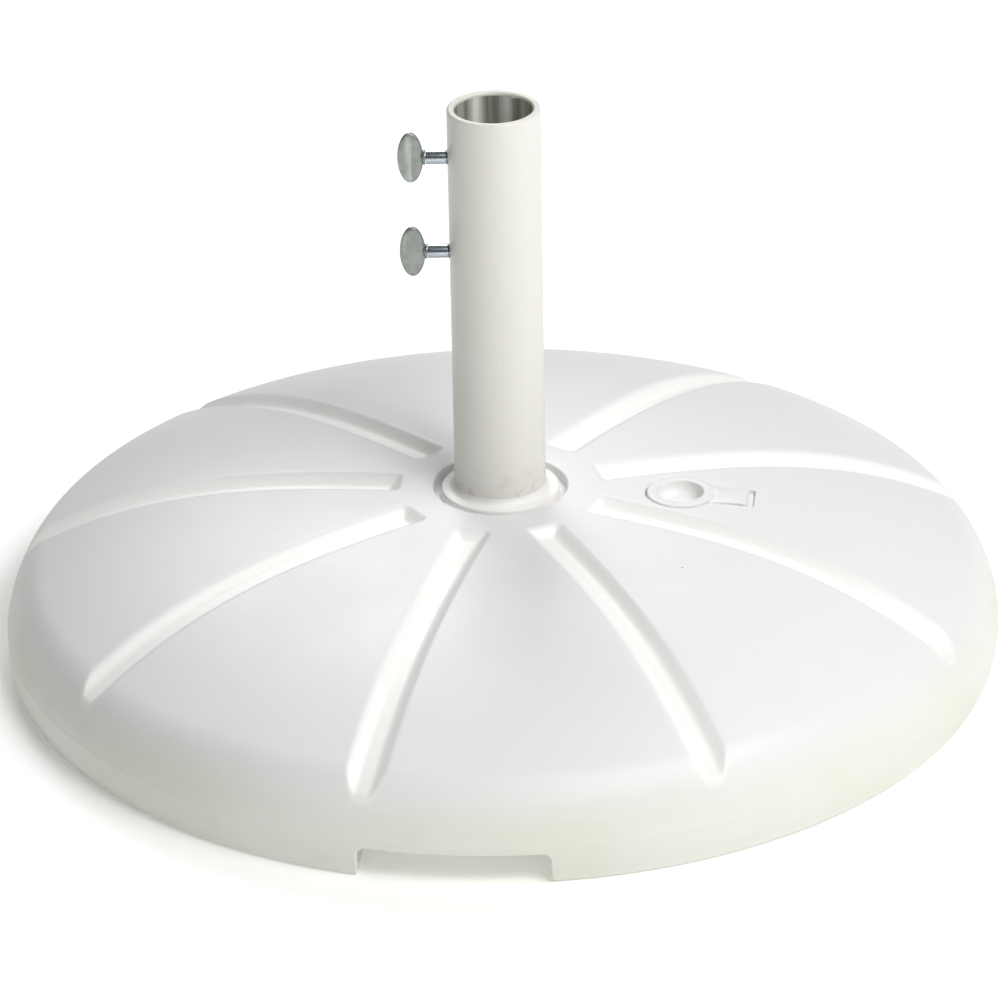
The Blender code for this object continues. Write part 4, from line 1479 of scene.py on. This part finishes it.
@dataclass
class Studio:
    """A pale floor, soft light from the right and the front, and the camera."""

    distance: float = 2.977
    elevation_deg: float = 28.16
    roll_deg: float = -1.086
    pan_deg: float = -0.008
    tilt_deg: float = -1.433
    lens_mm: float = 192.53
    floor_size: float = 14.0
    floor_colour: Triple = (0.93, 0.925, 0.915)
    # Glow near the base and far from it; the weaker near glow paints a faint shadow round the base.
    floor_glow: Pair = (0.22, 0.36)
    glow_reach: Pair = (0.28, 0.36)
    sky_strength: float = 0.10
    lamp_distance: float = 3.1
    lamp_size: float = 1.1

    def camera(self) -> None:
        """Looks at the resting plane's centre, then tilts, pans and rolls a little."""
        lift = math.radians(self.elevation_deg)
        seat = Vector((0, -self.distance * math.cos(lift), self.distance * math.sin(lift)))
        facing = Matrix.Rotation(math.pi / 2 - lift, 4, "X")
        tilt = Matrix.Rotation(math.radians(-self.tilt_deg), 4, "X")
        pan = Matrix.Rotation(math.radians(self.pan_deg), 4, "Y")
        roll = Matrix.Rotation(math.radians(self.roll_deg), 4, "Z")
        data = bpy.data.cameras.new("camera")
        data.lens = self.lens_mm
        data.sensor_width = 36.0
        data.clip_end = 50.0
        camera = linked("camera", data)
        camera.matrix_world = Matrix.Translation(seat) @ facing @ pan.inverted() @ tilt @ roll
        bpy.context.scene.camera = camera

    def lamp(self, name: str, bearing_deg: float, lift_deg: float, watts: float) -> None:
        """A square area lamp aimed at the base.

        Args:
            name: The lamp's name.
            bearing_deg: Its direction round the pole from +X.
            lift_deg: Its direction up from the floor.
            watts: Its power.
        """
        bearing, lift = math.radians(bearing_deg), math.radians(lift_deg)
        level = math.cos(lift)
        way = Vector((math.cos(bearing) * level, math.sin(bearing) * level, math.sin(lift)))
        data = bpy.data.lights.new(name, "AREA")
        data.shape = "SQUARE"
        data.size = self.lamp_size
        data.energy = watts
        lamp = linked(name, data)
        lamp.location = way * self.lamp_distance
        aim = Vector((0, 0, 0.05)) - lamp.location
        lamp.rotation_euler = aim.to_track_quat("-Z", "Y").to_euler()

    def floor(self) -> None:
        """A flat pale floor that is not part of the object; it glows less close to the base, which paints a
        faint shadow round it.
        """
        reach = self.floor_size / 2
        corners = [(-reach, -reach, 0), (reach, -reach, 0), (reach, reach, 0), (-reach, reach, 0)]
        mesh = bpy.data.meshes.new("floor")
        mesh.from_pydata(corners, [], [(0, 1, 2, 3)])
        floor = linked("floor", mesh)
        graph = Graph("floor_paper")
        cloud = graph.noise(graph.place(), 3.0, 2.0)
        paper = graph.blend(cloud * 0.2, self.floor_colour, tuple(c * 0.985 for c in self.floor_colour))
        sockets = {0: graph.place()}
        distance = graph.node("ShaderNodeVectorMath", {"operation": "LENGTH"}, sockets, 1)
        # Painted shadow: the glow is weaker close to the base and full further out.
        away = graph.between(distance, *self.glow_reach)
        near, far = ((glow, glow, glow) for glow in self.floor_glow)
        glow = {"emission_color": graph.blend(away, near, far), "emission_strength": 1.0}
        mesh.materials.append(graph.finish(base_color=paper, roughness=0.9, **glow))

    def build(self) -> None:
        """Sets the sky, the lamps, the floor and the camera."""
        world = bpy.data.worlds.new("studio")
        world.use_nodes = True
        sky = world.node_tree.nodes["Background"]
        sky.inputs["Color"].default_value = (1.0, 1.0, 1.0, 1.0)
        sky.inputs["Strength"].default_value = self.sky_strength
        bpy.context.scene.world = world
        bpy.context.scene.view_settings.view_transform = "Standard"
        for lamp in LAMPS:
            self.lamp(*lamp)
        self.floor()
        self.camera()


# ---------------------------------------------------------------- the whole base


def dress_ballast() -> None:
    """The settled sand keeps its own solid and gets its finish."""
    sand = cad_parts["sand_ballast"]
    dress(sand, Sand())
    LOG.info("%s: carried over", sand.name)


def middle_height(node: str) -> float:
    """Half way up a node of the frame."""
    low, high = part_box(node)
    return (low.z + high.z) / 2


def main() -> None:
    """Builds every sub-assembly in order and reports its pieces."""
    logging.basicConfig(level=logging.INFO, format="%(name)s %(message)s")
    Studio().build()

    low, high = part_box("base_shell")
    body = BallastBody(radius=min(-low.x, high.x, -low.y, high.y))
    hand_over(body.build(), "base", "white_resin", "base_shell")
    dress_ballast()

    filler_height = float(body.dome(np.array([body.filler.radius]))[0])
    plug = FillerPlug(body.filler, filler_height)
    hand_over(plug.build(), "plug", "plug_resin", "filler_plug")

    tube_low, tube_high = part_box("pole_tube")
    heights = {label: middle_height(f"{label}_thumb_stud") for label in ("upper", "lower")}
    tube = PoleTube(tube_low.z, tube_high.z, tuple(heights.values()))
    hand_over(tube.build(), "base", "white_paint", "pole_tube")
    hand_over(TubeCollar().build(), "base", "collar_resin", "tube_collar")

    for label, height in heights.items():
        screw = ThumbScrew(label, height)
        hand_over(screw.stud(), f"{label}_stud", "zinc_plate", f"{label}_thumb_stud")
        hand_over(screw.head(), f"{label}_head", "zinc_casting", f"{label}_thumb_head")

    hardware = BottomHardware()
    hand_over(hardware.plate(), "base", "bare_steel", "tube_end_plate")
    hand_over(hardware.washer(), "base", "zinc_plate", "clamp_washer")
    hand_over(hardware.spring_washer(), "base", "zinc_plate", "lock_washer")
    hand_over(hardware.bolt(), "base", "zinc_plate", "clamp_bolt")


if __name__ == "__main__":
    main()
